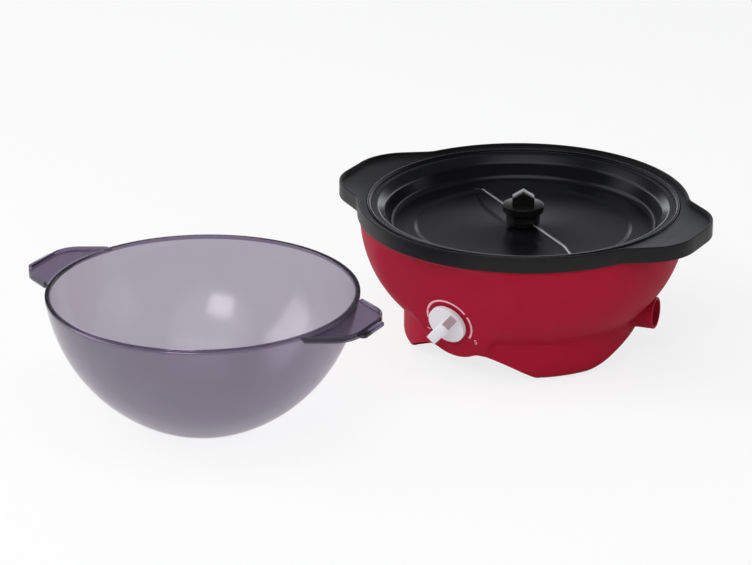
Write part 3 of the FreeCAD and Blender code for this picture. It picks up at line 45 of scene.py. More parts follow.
# camera and lamps
cameraSettings = {
    "lens": 172.34,
    "sensor": 36.0,
    "place": (1.6375, -2.5704, 1.263),
    "look": (-0.5736, 0.8192),
    "pitch": 21.67,
    "clip": (0.1, 30.0),
}

cameraData = bpy.data.cameras.new("camera")
cameraData.lens = cameraSettings["lens"]
cameraData.sensor_width = cameraSettings["sensor"]
cameraData.clip_start, cameraData.clip_end = cameraSettings["clip"]
camera = bpy.data.objects.new("camera", cameraData)
bpy.context.scene.collection.objects.link(camera)
camera.location = cameraSettings["place"]
pitch = radians(cameraSettings["pitch"])
lookX, lookY = cameraSettings["look"]
lookAt = Vector((lookX * cos(pitch), lookY * cos(pitch), -sin(pitch)))
camera.rotation_mode = "QUATERNION"
camera.rotation_quaternion = lookAt.to_track_quat("-Z", "Y")
bpy.context.scene.camera = camera
bpy.context.scene.view_settings.view_transform = "Standard"

lampSettings = {
    # name: (place, aimed at, width, height, watts, colour)
    "softboxLeft": ((-2.1, -1.3, 1.5), (0.0, -0.1, 0.08), 1.6, 1.4, 34, (1.0, 0.99, 0.98)),
    "softboxFront": ((0.6, -2.3, 2.0), (0.0, -0.1, 0.08), 0.9, 0.7, 22, (1.0, 1.0, 1.0)),
    "softboxRight": ((2.0, 0.5, 1.0), (0.0, -0.1, 0.08), 1.0, 1.2, 4, (0.97, 0.98, 1.0)),
    "softboxTop": ((0.2, -0.4, 2.4), (0.0, -0.1, 0.1), 1.8, 1.4, 14, (1.0, 1.0, 1.0)),
}
for name, (place, aim, width, height, watts, colour) in lampSettings.items():
    lampData = bpy.data.lights.new(name, "AREA")
    lampData.shape = "RECTANGLE"
    lampData.size, lampData.size_y = width, height
    lampData.energy = watts
    lampData.color = colour
    lamp = bpy.data.objects.new(name, lampData)
    bpy.context.scene.collection.objects.link(lamp)
    lamp.location = place
    lamp.rotation_mode = "QUATERNION"
    lamp.rotation_quaternion = (Vector(aim) - Vector(place)).to_track_quat("-Z", "Y")
    lamp.visible_glossy = False


# node helpers
def addNode(tree, kind, **values):
    # A node with its named settings and inputs; a value may be another node's output.
    node = tree.nodes.new(kind)
    for key, value in values.items():
        if hasattr(node, key):
            setattr(node, key, value)
            continue
        socket = node.inputs[int(key[1:])] if key[0] == "_" else node.inputs[key]
        if isinstance(value, bpy.types.NodeSocket):
            tree.links.new(value, socket)
        else:
            socket.default_value = value
    return node


def addMath(tree, operation, first, second=0.0):
    return addNode(tree, "ShaderNodeMath", operation=operation, _0=first, _1=second).outputs[0]


def addMix(tree, share, first, second):
    return addNode(tree, "ShaderNodeMix", data_type="RGBA", _0=share, _6=first, _7=second).outputs[2]


def addRamp(tree, value, low, high):
    # 0 below low, 1 above high, eased between
    ramp = addNode(tree, "ShaderNodeMapRange", interpolation_type="SMOOTHSTEP", Value=value)
    ramp.inputs["From Min"].default_value = low
    ramp.inputs["From Max"].default_value = high
    return ramp.outputs["Result"]


def newGroup(name, inputs, outputs):
    # inputs: name -> default, a number or a colour; outputs: name -> socket kind
    group = bpy.data.node_groups.new(name, "ShaderNodeTree")
    for label, value in inputs.items():
        kind = "NodeSocketFloat" if isinstance(value, (int, float)) else "NodeSocketColor"
        socket = group.interface.new_socket(label, in_out="INPUT", socket_type=kind)
        socket.default_value = value
    for label, kind in outputs.items():
        group.interface.new_socket(label, in_out="OUTPUT", socket_type=kind)
    source = group.nodes.new("NodeGroupInput").outputs
    result = group.nodes.new("NodeGroupOutput").inputs
    where = addNode(group, "ShaderNodeTexCoord").outputs["Object"]
    return group, source, result, where


def makeShadeDrift():
    # slow cloudy change of shade, as in moulded plastic and thick coats
    group, source, result, where = newGroup(
        "shadeDrift", {"Colour": (1, 1, 1, 1), "Amount": 0.06, "Scale": 18.0}, {"Colour": "NodeSocketColor"})
    cloud = addNode(group, "ShaderNodeTexNoise", Vector=where, Scale=source["Scale"], Detail=4.0)
    signed = addMath(group, "SUBTRACT", cloud.outputs["Fac"], 0.5)
    change = addMath(group, "MULTIPLY_ADD", signed, source["Amount"])
    change.node.inputs[2].default_value = 1.0
    shade = addNode(group, "ShaderNodeHueSaturation", Color=source["Colour"], Value=change)
    group.links.new(shade.outputs["Color"], result["Colour"])
    return group


def makeGlossDrift():
    # roughness with faint smears from wiping and handling
    group, source, result, where = newGroup(
        "glossDrift", {"Roughness": 0.4, "Spread": 0.08, "Smears": 0.05, "Scale": 30.0},
        {"Roughness": "NodeSocketFloat"})
    cloud = addNode(group, "ShaderNodeTexNoise", Vector=where, Scale=source["Scale"], Detail=5.0)
    stretched = addNode(group, "ShaderNodeMapping", Vector=where, Scale=(1.0, 0.25, 1.0),
                        Rotation=(0.3, 0.2, 0.7))
    smear = addNode(group, "ShaderNodeTexNoise", Vector=stretched.outputs[0], Scale=42.0, Detail=3.0,
                    Distortion=0.8)
    rubbed = addRamp(group, smear.outputs["Fac"], 0.52, 0.72)
    signed = addMath(group, "SUBTRACT", cloud.outputs["Fac"], 0.5)
    spread = addMath(group, "MULTIPLY", signed, source["Spread"])
    smears = addMath(group, "MULTIPLY", rubbed, source["Smears"])
    total = addMath(group, "ADD", addMath(group, "ADD", spread, smears), source["Roughness"])
    total.node.use_clamp = True
    group.links.new(total, result["Roughness"])
    return group


def makeMouldGrain():
    # fine spark-eroded grain of a mould face
    group, source, result, where = newGroup(
        "mouldGrain", {"Scale": 900.0, "Strength": 0.15, "Depth": 0.0001}, {"Normal": "NodeSocketVector"})
    fine = addNode(group, "ShaderNodeTexNoise", Vector=where, Scale=source["Scale"], Detail=2.0)
    pits = addNode(group, "ShaderNodeTexVoronoi", Vector=where, Scale=source["Scale"])
    height = addMath(group, "ADD", fine.outputs["Fac"], pits.outputs["Distance"])
    bump = addNode(group, "ShaderNodeBump", Height=height, Strength=source["Strength"],
                   Distance=source["Depth"])
    group.links.new(bump.outputs[0], result["Normal"])
    return group


def makeMetalLines():
    # rolling and turning lines, drawn out level with the worktop
    group, source, result, where = newGroup(
        "metalLines", {"Scale": 60.0, "Strength": 0.2, "Roughness": 0.35},
        {"Normal": "NodeSocketVector", "Roughness": "NodeSocketFloat"})
    stretched = addNode(group, "ShaderNodeMapping", Vector=where, Scale=(1.0, 1.0, 30.0))
    lines = addNode(group, "ShaderNodeTexNoise", Vector=stretched.outputs[0], Scale=source["Scale"],
                    Detail=6.0)
    bump = addNode(group, "ShaderNodeBump", Height=lines.outputs["Fac"], Strength=source["Strength"],
                   Distance=0.0001)
    swing = addMath(group, "MULTIPLY", addMath(group, "SUBTRACT", lines.outputs["Fac"], 0.5), 0.25)
    group.links.new(bump.outputs[0], result["Normal"])
    group.links.new(addMath(group, "ADD", swing, source["Roughness"]), result["Roughness"])
    return group


def makeEdgeRub():
    # mask of rubbed outer edges, broken up so that it never makes an even line
    group, source, result, where = newGroup(
        "edgeRub", {"Amount": 0.5, "Scale": 140.0}, {"Mask": "NodeSocketFloat"})
    bend = addNode(group, "ShaderNodeNewGeometry").outputs["Pointiness"]
    edge = addRamp(group, bend, 0.52, 0.62)
    broken = addNode(group, "ShaderNodeTexNoise", Vector=where, Scale=source["Scale"], Detail=4.0)
    patchy = addMath(group, "MULTIPLY", edge, addRamp(group, broken.outputs["Fac"], 0.35, 0.65))
    group.links.new(addMath(group, "MULTIPLY", patchy, source["Amount"]), result["Mask"])
    return group


shadeDrift = makeShadeDrift()
glossDrift = makeGlossDrift()
mouldGrain = makeMouldGrain()
metalLines = makeMetalLines()
edgeRub = makeEdgeRub()


def addGroup(tree, group, **values):
    node = tree.nodes.new("ShaderNodeGroup")
    node.node_tree = group
    for key, value in values.items():
        if isinstance(value, bpy.types.NodeSocket):
            tree.links.new(value, node.inputs[key])
        else:
            node.inputs[key].default_value = value
    return node.outputs


def newMaterial(name):
    material = bpy.data.materials.new(name)
    material.use_nodes = True
    tree = material.node_tree
    return material, tree, tree.nodes["Principled BSDF"], tree.nodes["Material Output"]


def plainColour(colour):
    return (*colour, 1.0)


def makePlastic(name, colour, roughness, amount=0.08, grain=0.12, grainScale=900.0, smears=0.05,
                rubbed=None, specular=0.5):
    material, tree, shader, output = newMaterial(name)
    shade = addGroup(tree, shadeDrift, Colour=plainColour(colour), Amount=amount)["Colour"]
    if rubbed:
        mask = addGroup(tree, edgeRub, Amount=0.35)["Mask"]
        shade = addMix(tree, mask, shade, plainColour(rubbed))
    tree.links.new(shade, shader.inputs["Base Color"])
    gloss = addGroup(tree, glossDrift, Roughness=roughness, Smears=smears)["Roughness"]
    tree.links.new(gloss, shader.inputs["Roughness"])
    normal = addGroup(tree, mouldGrain, Scale=grainScale, Strength=grain)["Normal"]
    tree.links.new(normal, shader.inputs["Normal"])
    shader.inputs["Specular IOR Level"].default_value = specular
    return material


def makeMetal(name, colour, roughness, lines=0.2, scale=60.0, amount=0.12):
    material, tree, shader, output = newMaterial(name)
    shade = addGroup(tree, shadeDrift, Colour=plainColour(colour), Amount=amount, Scale=60.0)["Colour"]
    tree.links.new(shade, shader.inputs["Base Color"])
    drawn = addGroup(tree, metalLines, Roughness=roughness, Strength=lines, Scale=scale)
    tree.links.new(drawn["Roughness"], shader.inputs["Roughness"])
    tree.links.new(drawn["Normal"], shader.inputs["Normal"])
    shader.inputs["Metallic"].default_value = 1.0
    return material


def makeNonStick(name, colour, speck, roughness):
    # baked coat: fine pale specks under a soft gloss
    material, tree, shader, output = newMaterial(name)
    shade = addGroup(tree, shadeDrift, Colour=plainColour(colour), Amount=0.2, Scale=9.0)["Colour"]
    where = addNode(tree, "ShaderNodeTexCoord").outputs["Object"]
    cells = addNode(tree, "ShaderNodeTexVoronoi", Vector=where, Scale=900.0)
    dots = addRamp(tree, cells.outputs["Distance"], 0.16, 0.08)
    flecked = addMix(tree, addMath(tree, "MULTIPLY", dots, 0.25), shade, plainColour(speck))
    tree.links.new(flecked, shader.inputs["Base Color"])
    gloss = addGroup(tree, glossDrift, Roughness=roughness, Spread=0.05, Smears=0.02, Scale=12.0)["Roughness"]
    tree.links.new(gloss, shader.inputs["Roughness"])
    normal = addGroup(tree, mouldGrain, Scale=900.0, Strength=0.02)["Normal"]
    tree.links.new(normal, shader.inputs["Normal"])
    shader.inputs["Specular IOR Level"].default_value = 0.34
    return material


def makeSmokedClear(name, colour, deep, middle, radius, rimFoot, roughness):
    # clear tinted plastic that lets lamps through; its rim and ears are thicker, so deeper in tint
    material, tree, shader, output = newMaterial(name)
    where = addNode(tree, "ShaderNodeTexCoord").outputs["Object"]
    level = addNode(tree, "ShaderNodeMapping", Vector=where, Location=(-middle[0], -middle[1], 0.0),
                    Scale=(1.0, 1.0, 0.0))
    away = addNode(tree, "ShaderNodeVectorMath", operation="LENGTH", _0=level.outputs[0]).outputs["Value"]
    height = addNode(tree, "ShaderNodeSeparateXYZ", _0=where).outputs["Z"]
    fadeOut, fadeUp = 0.6 * mm, 0.8 * mm
    thick = addMath(tree, "MAXIMUM", addRamp(tree, away, radius - fadeOut, radius + fadeOut),
                    addRamp(tree, height, rimFoot - fadeUp, rimFoot))
    tint = addMix(tree, thick, plainColour(colour), plainColour(deep))
    shade = addGroup(tree, shadeDrift, Colour=tint, Amount=0.06, Scale=10.0)["Colour"]
    tree.links.new(shade, shader.inputs["Base Color"])
    gloss = addGroup(tree, glossDrift, Roughness=roughness, Spread=0.03, Smears=0.04)["Roughness"]
    tree.links.new(gloss, shader.inputs["Roughness"])
    shader.inputs["IOR"].default_value = 1.49
    shader.inputs["Transmission Weight"].default_value = 1.0
    lampThrough = addNode(tree, "ShaderNodeBsdfTransparent", Color=(0.72, 0.70, 0.74, 1))
    ray = addNode(tree, "ShaderNodeLightPath").outputs["Is Shadow Ray"]
    mix = addNode(tree, "ShaderNodeMixShader", _0=ray, _1=shader.outputs[0], _2=lampThrough.outputs[0])
    tree.links.new(mix.outputs[0], output.inputs["Surface"])
    return material


finishes = {
    "redPlastic": makePlastic("redPlastic", (0.385, 0.010, 0.032), 0.48, smears=0.03, grain=0.06,
                              rubbed=(0.42, 0.025, 0.05), specular=0.06),
    "collarBlack": makePlastic("collarBlack", (0.007, 0.007, 0.0075), 0.42, amount=0.2, grain=0.12,
                               grainScale=700.0, rubbed=(0.05, 0.05, 0.05), specular=0.24),
    "stirrerBlack": makePlastic("stirrerBlack", (0.005, 0.005, 0.0045), 0.22, amount=0.2, grain=0.06,
                                rubbed=(0.04, 0.04, 0.04), specular=0.35),
    "knobSilver": makePlastic("knobSilver", (0.84, 0.85, 0.86), 0.34, amount=0.03, grain=0.06,
                              rubbed=(0.85, 0.85, 0.85)),
    "dialPrint": makePlastic("dialPrint", (0.95, 0.52, 0.57), 0.45, amount=0.05, specular=0.25),
    "blackRubber": makePlastic("blackRubber", (0.018, 0.018, 0.018), 0.7, amount=0.3, grain=0.4,
                               grainScale=500.0),
    "greySilicone": makePlastic("greySilicone", (0.16, 0.16, 0.16), 0.55, grain=0.1),
    "redSilicone": makePlastic("redSilicone", (0.32, 0.04, 0.03), 0.5, grain=0.1),
    "blackPhenolic": makePlastic("blackPhenolic", (0.02, 0.02, 0.02), 0.45, amount=0.25, grain=0.3),
    "creamPhenolic": makePlastic("creamPhenolic", (0.52, 0.45, 0.33), 0.5, amount=0.15, grain=0.2),
    "naturalAcetal": makePlastic("naturalAcetal", (0.72, 0.71, 0.66), 0.4, amount=0.05, grain=0.1),
    "nonStick": makeNonStick("nonStick", (0.0045, 0.0047, 0.0065), (0.02, 0.021, 0.026), 0.19),
    "brightSteel": makeMetal("brightSteel", (0.72, 0.72, 0.73), 0.18, lines=0.08),
    # knob marker: bright steel whose pink tint is a painted reflection of the red housing in the chrome
    "markerSteelPaintedRedReflection": makeMetal("markerSteelPaintedRedReflection", (0.95, 0.70, 0.74), 0.42, lines=0.08),
    "zincSteel": makeMetal("zincSteel", (0.55, 0.56, 0.57), 0.34),
    "darkSteel": makeMetal("darkSteel", (0.20, 0.19, 0.18), 0.42, amount=0.3),
    "plainAluminium": makeMetal("plainAluminium", (0.66, 0.66, 0.67), 0.38, scale=90.0),
    "copperWinding": makeMetal("copperWinding", (0.50, 0.20, 0.08), 0.3, lines=0.8, scale=40.0),
    "bronze": makeMetal("bronze", (0.42, 0.27, 0.12), 0.4),
    "brass": makeMetal("brass", (0.60, 0.44, 0.18), 0.3),
}

nodeFinishes = {
    "redPlastic": ["housing_shell"],
    "collarBlack": ["collar"],
    "stirrerBlack": ["stirrer_hub", "stirrer_ring"],
    "knobSilver": ["knob"],
    "blackRubber": ["foot_pads", "cord_bush"],
    "greySilicone": ["pan_gasket"],
    "redSilicone": ["shaft_seal"],
    "blackPhenolic": ["heat_control", "base_plate"],
    "creamPhenolic": ["thermal_cutout"],
    "naturalAcetal": ["output_gear", "idler_gear", "terminal_block"],
    "nonStick": ["pan"],
    "brightSteel": ["stirrer_wire"],
    "markerSteelPaintedRedReflection": ["knob_marker"],
    "zincSteel": ["collar_screws", "heat_shield", "pan_studs", "pan_nuts", "shield_screws", "mount_posts",
                  "frame_pillars", "frame_screws", "frame_plate_lower", "frame_plate_upper", "idler_pin",
                  "motor_can", "motor_screws", "drive_shaft", "control_shaft", "control_nut",
                  "base_screws", "motor_rotor"],
    "darkSteel": ["heating_element", "shaft_clip"],
    "plainAluminium": ["clamp_plate", "spacers"],
    "copperWinding": ["motor_coil"],
    "bronze": ["shaft_bushes", "pan_bush"],
    "brass": ["terminal_screws"],
}


def finishNode(name, finish):
    nodes[name].data.materials.clear()
    nodes[name].data.materials.append(finishes[finish])


for finish, names in nodeFinishes.items():
    for name in names:
        finishNode(name, finish)
print("finishes ready:", len(finishes))


# shape helpers
def heading(azimuth):
    # level unit vector; azimuths are degrees from -Y towards +X
    return Vector((sin(radians(azimuth)), -cos(radians(azimuth)), 0))


def azimuthOf(spot):
    return degrees(atan2(spot.x, -spot.y))


def wrapped(angle):
    return (angle + 180) % 360 - 180


def smoothStep(value, low, high):
    share = min(1, max(0, (value - low) / (high - low)))
    return share * share * (3 - 2 * share)


def softMin(first, second, reach):
    # the lower of two values, with a rounded change between them
    share = max(reach - abs(first - second), 0) / reach
    return min(first, second) - share * share * reach / 4


def roundedLine(corners, closed=True, steps=5):
    # corners are (x, y) or (x, y, fillet radius); a rounded corner becomes a short arc
    line = []
    for i, corner in enumerate(corners):
        spot = Vector(corner[:2])
        if len(corner) < 3 or (not closed and i in (0, len(corners) - 1)):
            line.append(spot)
            continue
        back = (Vector(corners[i - 1][:2]) - spot).normalized()
        ahead = (Vector(corners[(i + 1) % len(corners)][:2]) - spot).normalized()
        half = back.angle(ahead) / 2
        centre = spot + (back + ahead).normalized() * corner[2] / sin(half)
        start = spot + back * corner[2] / tan(half) - centre
        end = spot + ahead * corner[2] / tan(half) - centre
        first = atan2(start.y, start.x)
        turn = (atan2(end.y, end.x) - first + pi) % (2 * pi) - pi
        for k in range(steps + 1):
            angle = first + turn * k / steps
            line.append(centre + corner[2] * Vector((cos(angle), sin(angle))))
    return line


def spun(line, steps, closed=True):
    # (radius, height) line turned about the upright axis; each vertex keeps its row number
    bm = bmesh.new()
    row = bm.verts.layers.int.new("row")
    verts = []
    for number, (radius, height) in enumerate(line):
        vert = bm.verts.new((0, -radius * mm, height * mm))
        vert[row] = number
        verts.append(vert)
    edges = [bm.edges.new(pair) for pair in zip(verts, verts[1:])]
    if closed:
        edges.append(bm.edges.new((verts[-1], verts[0])))
    bmesh.ops.spin(bm, geom=verts + edges, axis=(0, 0, 1), angle=2 * pi, steps=steps, use_merge=True)
    bmesh.ops.remove_doubles(bm, verts=bm.verts[:], dist=1e-6)
    return bm


def roundEdges(bm, edges, width):
    bmesh.ops.bevel(bm, geom=edges, offset=width * mm, affect="EDGES", segments=3, profile=0.5,
                    material=-1)


def addPiece(name, bm, finish, body, stands=(), sharp=40):
    # a finished piece: merged, turned outwards, shaded, riding on its body
    bmesh.ops.remove_doubles(bm, verts=bm.verts[:], dist=1e-6)
    bmesh.ops.dissolve_degenerate(bm, edges=bm.edges[:], dist=1e-7)
    bmesh.ops.recalc_face_normals(bm, faces=bm.faces[:])
    mesh = bpy.data.meshes.new(name)
    bm.to_mesh(mesh)
    bm.free()
    mesh.materials.append(finishes[finish])
    mesh.shade_smooth()
    mesh.set_sharp_from_angle(angle=radians(sharp))
    piece = bpy.data.objects.new(name, mesh)
    bpy.context.scene.collection.objects.link(piece)
    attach(piece, body)
    if stands:
        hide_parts(*stands)
    return piece


def earPlan(radius, reach, spread, neck, sweep, tipWidth, tipRound):
    # half ring of (angle, spot) round one ear, out of the ring with a sweep to a blunt tip
    turn = radians(spread)
    root = radius * Vector((cos(turn), sin(turn)))
    waist = root + neck * Vector((sin(turn), -cos(turn)))
    half = [(root.x, root.y), (waist.x, waist.y, sweep), (reach, tipWidth / 2, tipRound)]
    mirrored = [(p[0], -p[1], *p[2:]) for p in reversed(half)]
    line = roundedLine(half + mirrored, closed=False, steps=24)
    return sorted((degrees(atan2(spot.y, spot.x)), spot.x, spot.y) for spot in line)


def alongPlan(plan, angle, inset):
    # spot of the ear's outline at an angle from its middle, drawn in by an inset; None off the ear
    if not plan[0][0] < angle < plan[-1][0]:
        return None
    number = next(i for i, entry in enumerate(plan) if entry[0] >= angle)
    before, after = Vector(plan[number - 1][1:]), Vector(plan[number][1:])
    ray = Vector((cos(radians(angle)), sin(radians(angle))))
    along = after - before
    share = ray.cross(before) / -ray.cross(along)
    inward = Vector((-along.y, along.x)).normalized()
    return before + along * min(1, max(0, share)) + inward * inset


def ontoRing(vert, radius, height):
    # moves a vertex to a radius and a height at its own azimuth
    flat = heading(azimuthOf(vert.co)) * radius * mm
    vert.co = (flat.x, flat.y, height * mm)


def pullEars(bm, rows, plan, azimuth, radius):
    # rows: row number -> (way, inset, height, where a shut pocket's rows go); moves those rows
    layer = bm.verts.layers.int["row"]
    for vert in bm.verts:
        if vert[layer] not in rows:
            continue
        way, inset, height, shut = rows[vert[layer]]
        spotAzimuth = azimuthOf(vert.co)
        side = wrapped(spotAzimuth - azimuth)
        ear = azimuth if abs(side) < 90 else azimuth + 180
        spot = alongPlan(plan, wrapped(spotAzimuth - ear), inset)
        turn = Matrix.Rotation(radians(ear - 90), 2)
        if way == "outline":
            if spot:
                spot = turn @ spot
                vert.co.x, vert.co.y = spot.x * mm, spot.y * mm
            continue
        # a pocket row, open only where the drawn-in outline stands clear of the ring
        walled = alongPlan(plan, wrapped(spotAzimuth - ear), shut[2])
        if walled is None or walled.length < radius + shut[3]:
            ontoRing(vert, shut[0], shut[1])
        elif way == "pocket":
            spot = turn @ spot
            vert.co = (spot.x * mm, spot.y * mm, height * mm)


# moulded housing
housingSettings = {
    "columns": 480, "rows": 60, "upperRows": 40, "skirtRows": 8, "sharedHeight": 28.0, "skirtShare": 0.6,
    "topRadius": 147.5, "top": 125.3,
    "bellyCurve": 109.7, "bellyHeight": 121.0,
    "skirtRadius": 107.4, "footLift": 0.8, "footRound": 11.0, "toeRadius": 84.5,
    "frontFoot": 53.5, "footHalfAngle": 11.0, "footSideRound": 5.0, "archHeight": 26.0,
    "panelReach": 119.0, "panelHeight": 54.4, "panelTilt": 18.0, "panelCurve": 350.0,
    "padRadius": 38.5, "padFade": 9.0, "padFlat": 2.0, "creaseSoft": 2.6, "archSoft": 3.0,
    "panelSpan": 75.0, "browStart": 114.0, "wall": 2.5, "edgeRound": 0.9,
}
hs = housingSettings
tilt = radians(hs["panelTilt"])
panelOut = Vector((0, -cos(tilt), -sin(tilt)))
panelUp = Vector((0, -sin(tilt), cos(tilt)))
panelCentre = Vector((0, -hs["panelReach"], hs["panelHeight"]))
panelAxis = panelCentre - panelOut * hs["panelCurve"]


def panelPlace(x, y, lift=0.0):
    # spot on the panel's curved face, from its own right and up distances, in mm
    depth = sqrt(hs["panelCurve"] ** 2 - x * x) - hs["panelCurve"] + lift
    return panelCentre + Vector((x, 0, 0)) + panelUp * y + panelOut * depth


def panelRadius(azimuth, height):
    # distance from the upright axis to the panel's face, along an azimuth at a height
    way = heading(azimuth)
    start = Vector((0, 0, height)) - panelAxis
    way = way - panelUp * way.dot(panelUp)
    start = start - panelUp * start.dot(panelUp)
    a, b, c = way.dot(way), way.dot(start), start.dot(start) - hs["panelCurve"] ** 2
    return (sqrt(b * b - a * c) - b) / a


def makeSideLine():
    # lengths of the side's stretches: upright edge, belly arc, skirt, foot corner, underside
    middle = hs["topRadius"] - hs["bellyCurve"]
    crease = acos((hs["skirtRadius"] - middle) / hs["bellyCurve"])
    creaseHeight = hs["bellyHeight"] - hs["bellyCurve"] * sin(crease)
    footHeight = hs["footLift"] + hs["footRound"]
    lengths = [hs["top"] - hs["bellyHeight"], hs["bellyCurve"] * crease, creaseHeight - footHeight,
               hs["footRound"] * pi / 2, hs["skirtRadius"] - hs["footRound"] - hs["toeRadius"]]
    return middle, crease, creaseHeight, footHeight, lengths


sideMiddle, sideCrease, creaseHeight, footHeight, sideLengths = makeSideLine()


def sideSpot(length):
    # (radius, height) at a length down the side from its top edge
    for number, stretch in enumerate(sideLengths):
        if length <= stretch or number == len(sideLengths) - 1:
            break
        length -= stretch
    if number == 0:
        return hs["topRadius"], hs["top"] - length
    if number == 1:
        turn = length / hs["bellyCurve"]
        return (sideMiddle + hs["bellyCurve"] * cos(turn), hs["bellyHeight"] - hs["bellyCurve"] * sin(turn))
    if number == 2:
        return hs["skirtRadius"], creaseHeight - length
    if number == 3:
        turn = length / hs["footRound"]
        inner = hs["skirtRadius"] - hs["footRound"]
        return inner + hs["footRound"] * cos(turn), footHeight - hs["footRound"] * sin(turn)
    return hs["skirtRadius"] - hs["footRound"] - length, hs["footLift"]


def sideLength(height):
    # length down the side to a height
    if height > creaseHeight:
        return sideLengths[0] + hs["bellyCurve"] * asin((hs["bellyHeight"] - height) / hs["bellyCurve"])
    if height > footHeight:
        return sum(sideLengths[:2]) + creaseHeight - height
    turn = asin(min(1, (footHeight - height) / hs["footRound"]))
    return sum(sideLengths[:3]) + hs["footRound"] * turn


def archHeight(offset, halfGap):
    # height of an arch's edge at an angle from its middle; None over a foot
    half = hs["skirtRadius"] * sin(radians(halfGap))
    curve = (half ** 2 + hs["archHeight"] ** 2) / (2 * hs["archHeight"])
    middle = hs["archHeight"] - curve
    toe = hs["footSideRound"]
    toeHeight = hs["footLift"] + toe
    toeSide = sqrt((curve + toe) ** 2 - (toeHeight - middle) ** 2)
    touch = curve * toeSide / (curve + toe)
    side = abs(hs["skirtRadius"] * sin(radians(offset)))
    if abs(offset) > 89 or side >= toeSide:
        return None
    if side <= touch:
        return middle + sqrt(curve ** 2 - side ** 2)
    return toeHeight - sqrt(max(0, toe ** 2 - (side - toeSide) ** 2))


def padBottom(azimuth):
    # height of the dial pad's lower edge, or None beside the pad
    height = hs["panelHeight"] - hs["padRadius"]
    for _ in range(6):
        x = panelRadius(azimuth, height) * sin(radians(azimuth))
        if abs(x) >= hs["padRadius"]:
            return None
        height = panelPlace(x, -sqrt(hs["padRadius"] ** 2 - x * x)).z
    return height


def lowerEdge(azimuth):
    # height that the side is cut at, or None where it runs down round a foot
    gap = hs["frontFoot"] - hs["footHalfAngle"]
    sideArch = (180 + hs["frontFoot"]) / 2
    sideGap = (180 - hs["frontFoot"]) / 2 - hs["footHalfAngle"]
    for centre, halfGap in ((0, gap), (sideArch, sideGap), (-sideArch, sideGap)):
        height = archHeight(wrapped(azimuth - centre), halfGap)
        if height is None:
            continue
        pad = padBottom(azimuth) if centre == 0 and abs(azimuth) < 40 else None
        return softMin(height, pad, hs["archSoft"]) if pad else height
    return None


def facePoint(azimuth, length):
    # spot on the housing's outside, with the panel and its pad worked into the belly
    radius, height = sideSpot(length)
    if abs(azimuth) < hs["panelSpan"] and height > hs["footLift"] + 0.1:
        flat = panelRadius(azimuth, height)
        spot = heading(azimuth) * flat + Vector((0, 0, height))
        onPad = hypot(spot.x, (spot - panelCentre).dot(panelUp))
        joined = softMin(radius, flat, hs["creaseSoft"])
        pad = 1 - smoothStep(onPad, hs["padRadius"] - hs["padFlat"], hs["padRadius"] + hs["padFade"])
        joined += (flat - joined) * pad
        radius = joined + (radius - joined) * smoothStep(height, hs["browStart"], hs["bellyHeight"])
    return heading(azimuth) * radius * mm + Vector((0, 0, height * mm))


def rowLength(row, end):
    # length down the side to a row: alike all round down to a shared height, fanned out below it
    shared = sideLength(hs["sharedHeight"])
    skirtEnd = min(sum(sideLengths[:3]), shared + (end - shared) * hs["skirtShare"])
    if row <= hs["upperRows"]:
        return shared * row / hs["upperRows"]
    row -= hs["upperRows"]
    if row <= hs["skirtRows"]:
        return shared + (skirtEnd - shared) * row / hs["skirtRows"]
    row -= hs["skirtRows"]
    return skirtEnd + (end - skirtEnd) * row / (hs["rows"] - hs["upperRows"] - hs["skirtRows"])


bm = bmesh.new()
bmesh.ops.create_grid(bm, x_segments=hs["columns"], y_segments=hs["rows"], size=0.5)
cuts = {}
for vert in bm.verts:
    column = round((vert.co.x + 0.5) * hs["columns"])
    azimuth = wrapped(column * 360 / hs["columns"])
    if column not in cuts:
        edge = lowerEdge(azimuth)
        cuts[column] = sum(sideLengths) if edge is None else sideLength(edge)
    row = round((0.5 - vert.co.y) * hs["rows"])
    vert.co = facePoint(azimuth, rowLength(row, cuts[column]))
housing = addPiece("housingSkin", bm, "redPlastic", "base", ["housing_shell"], sharp=50)
wall = housing.modifiers.new("wall", "SOLIDIFY")
wall.thickness = hs["wall"] * mm
wall.offset = -1
rounding = housing.modifiers.new("rounding", "BEVEL")
rounding.width = hs["edgeRound"] * mm
rounding.segments = 2
rounding.limit_method = "ANGLE"
rounding.angle_limit = radians(60)

tubeSettings = {"azimuth": 105.0, "height": 41.0, "reach": 127.0, "radius": 14.5, "wall": 2.5,
                "recess": 19.0, "pass": 8.0, "root": 100.0, "flare": 3.5, "flareEnd": 110.0}
ts = tubeSettings
bore = ts["radius"] - ts["wall"]
tubeLine = roundedLine([
    (ts["pass"], ts["root"]), (ts["radius"] + ts["flare"], ts["root"]), (ts["radius"], ts["flareEnd"], 9.0),
    (ts["radius"], ts["reach"], 1.0), (bore, ts["reach"], 0.8), (bore, ts["reach"] - ts["recess"], 0.5),
    (ts["pass"], ts["reach"] - ts["recess"])])
bm = spun(tubeLine, 72)
bm.transform(Matrix.Translation((0, 0, ts["height"] * mm))
             @ heading(ts["azimuth"]).to_track_quat("Z", "X").to_matrix().to_4x4())
addPiece("cordTube", bm, "redPlastic", "base")
print("housing done")


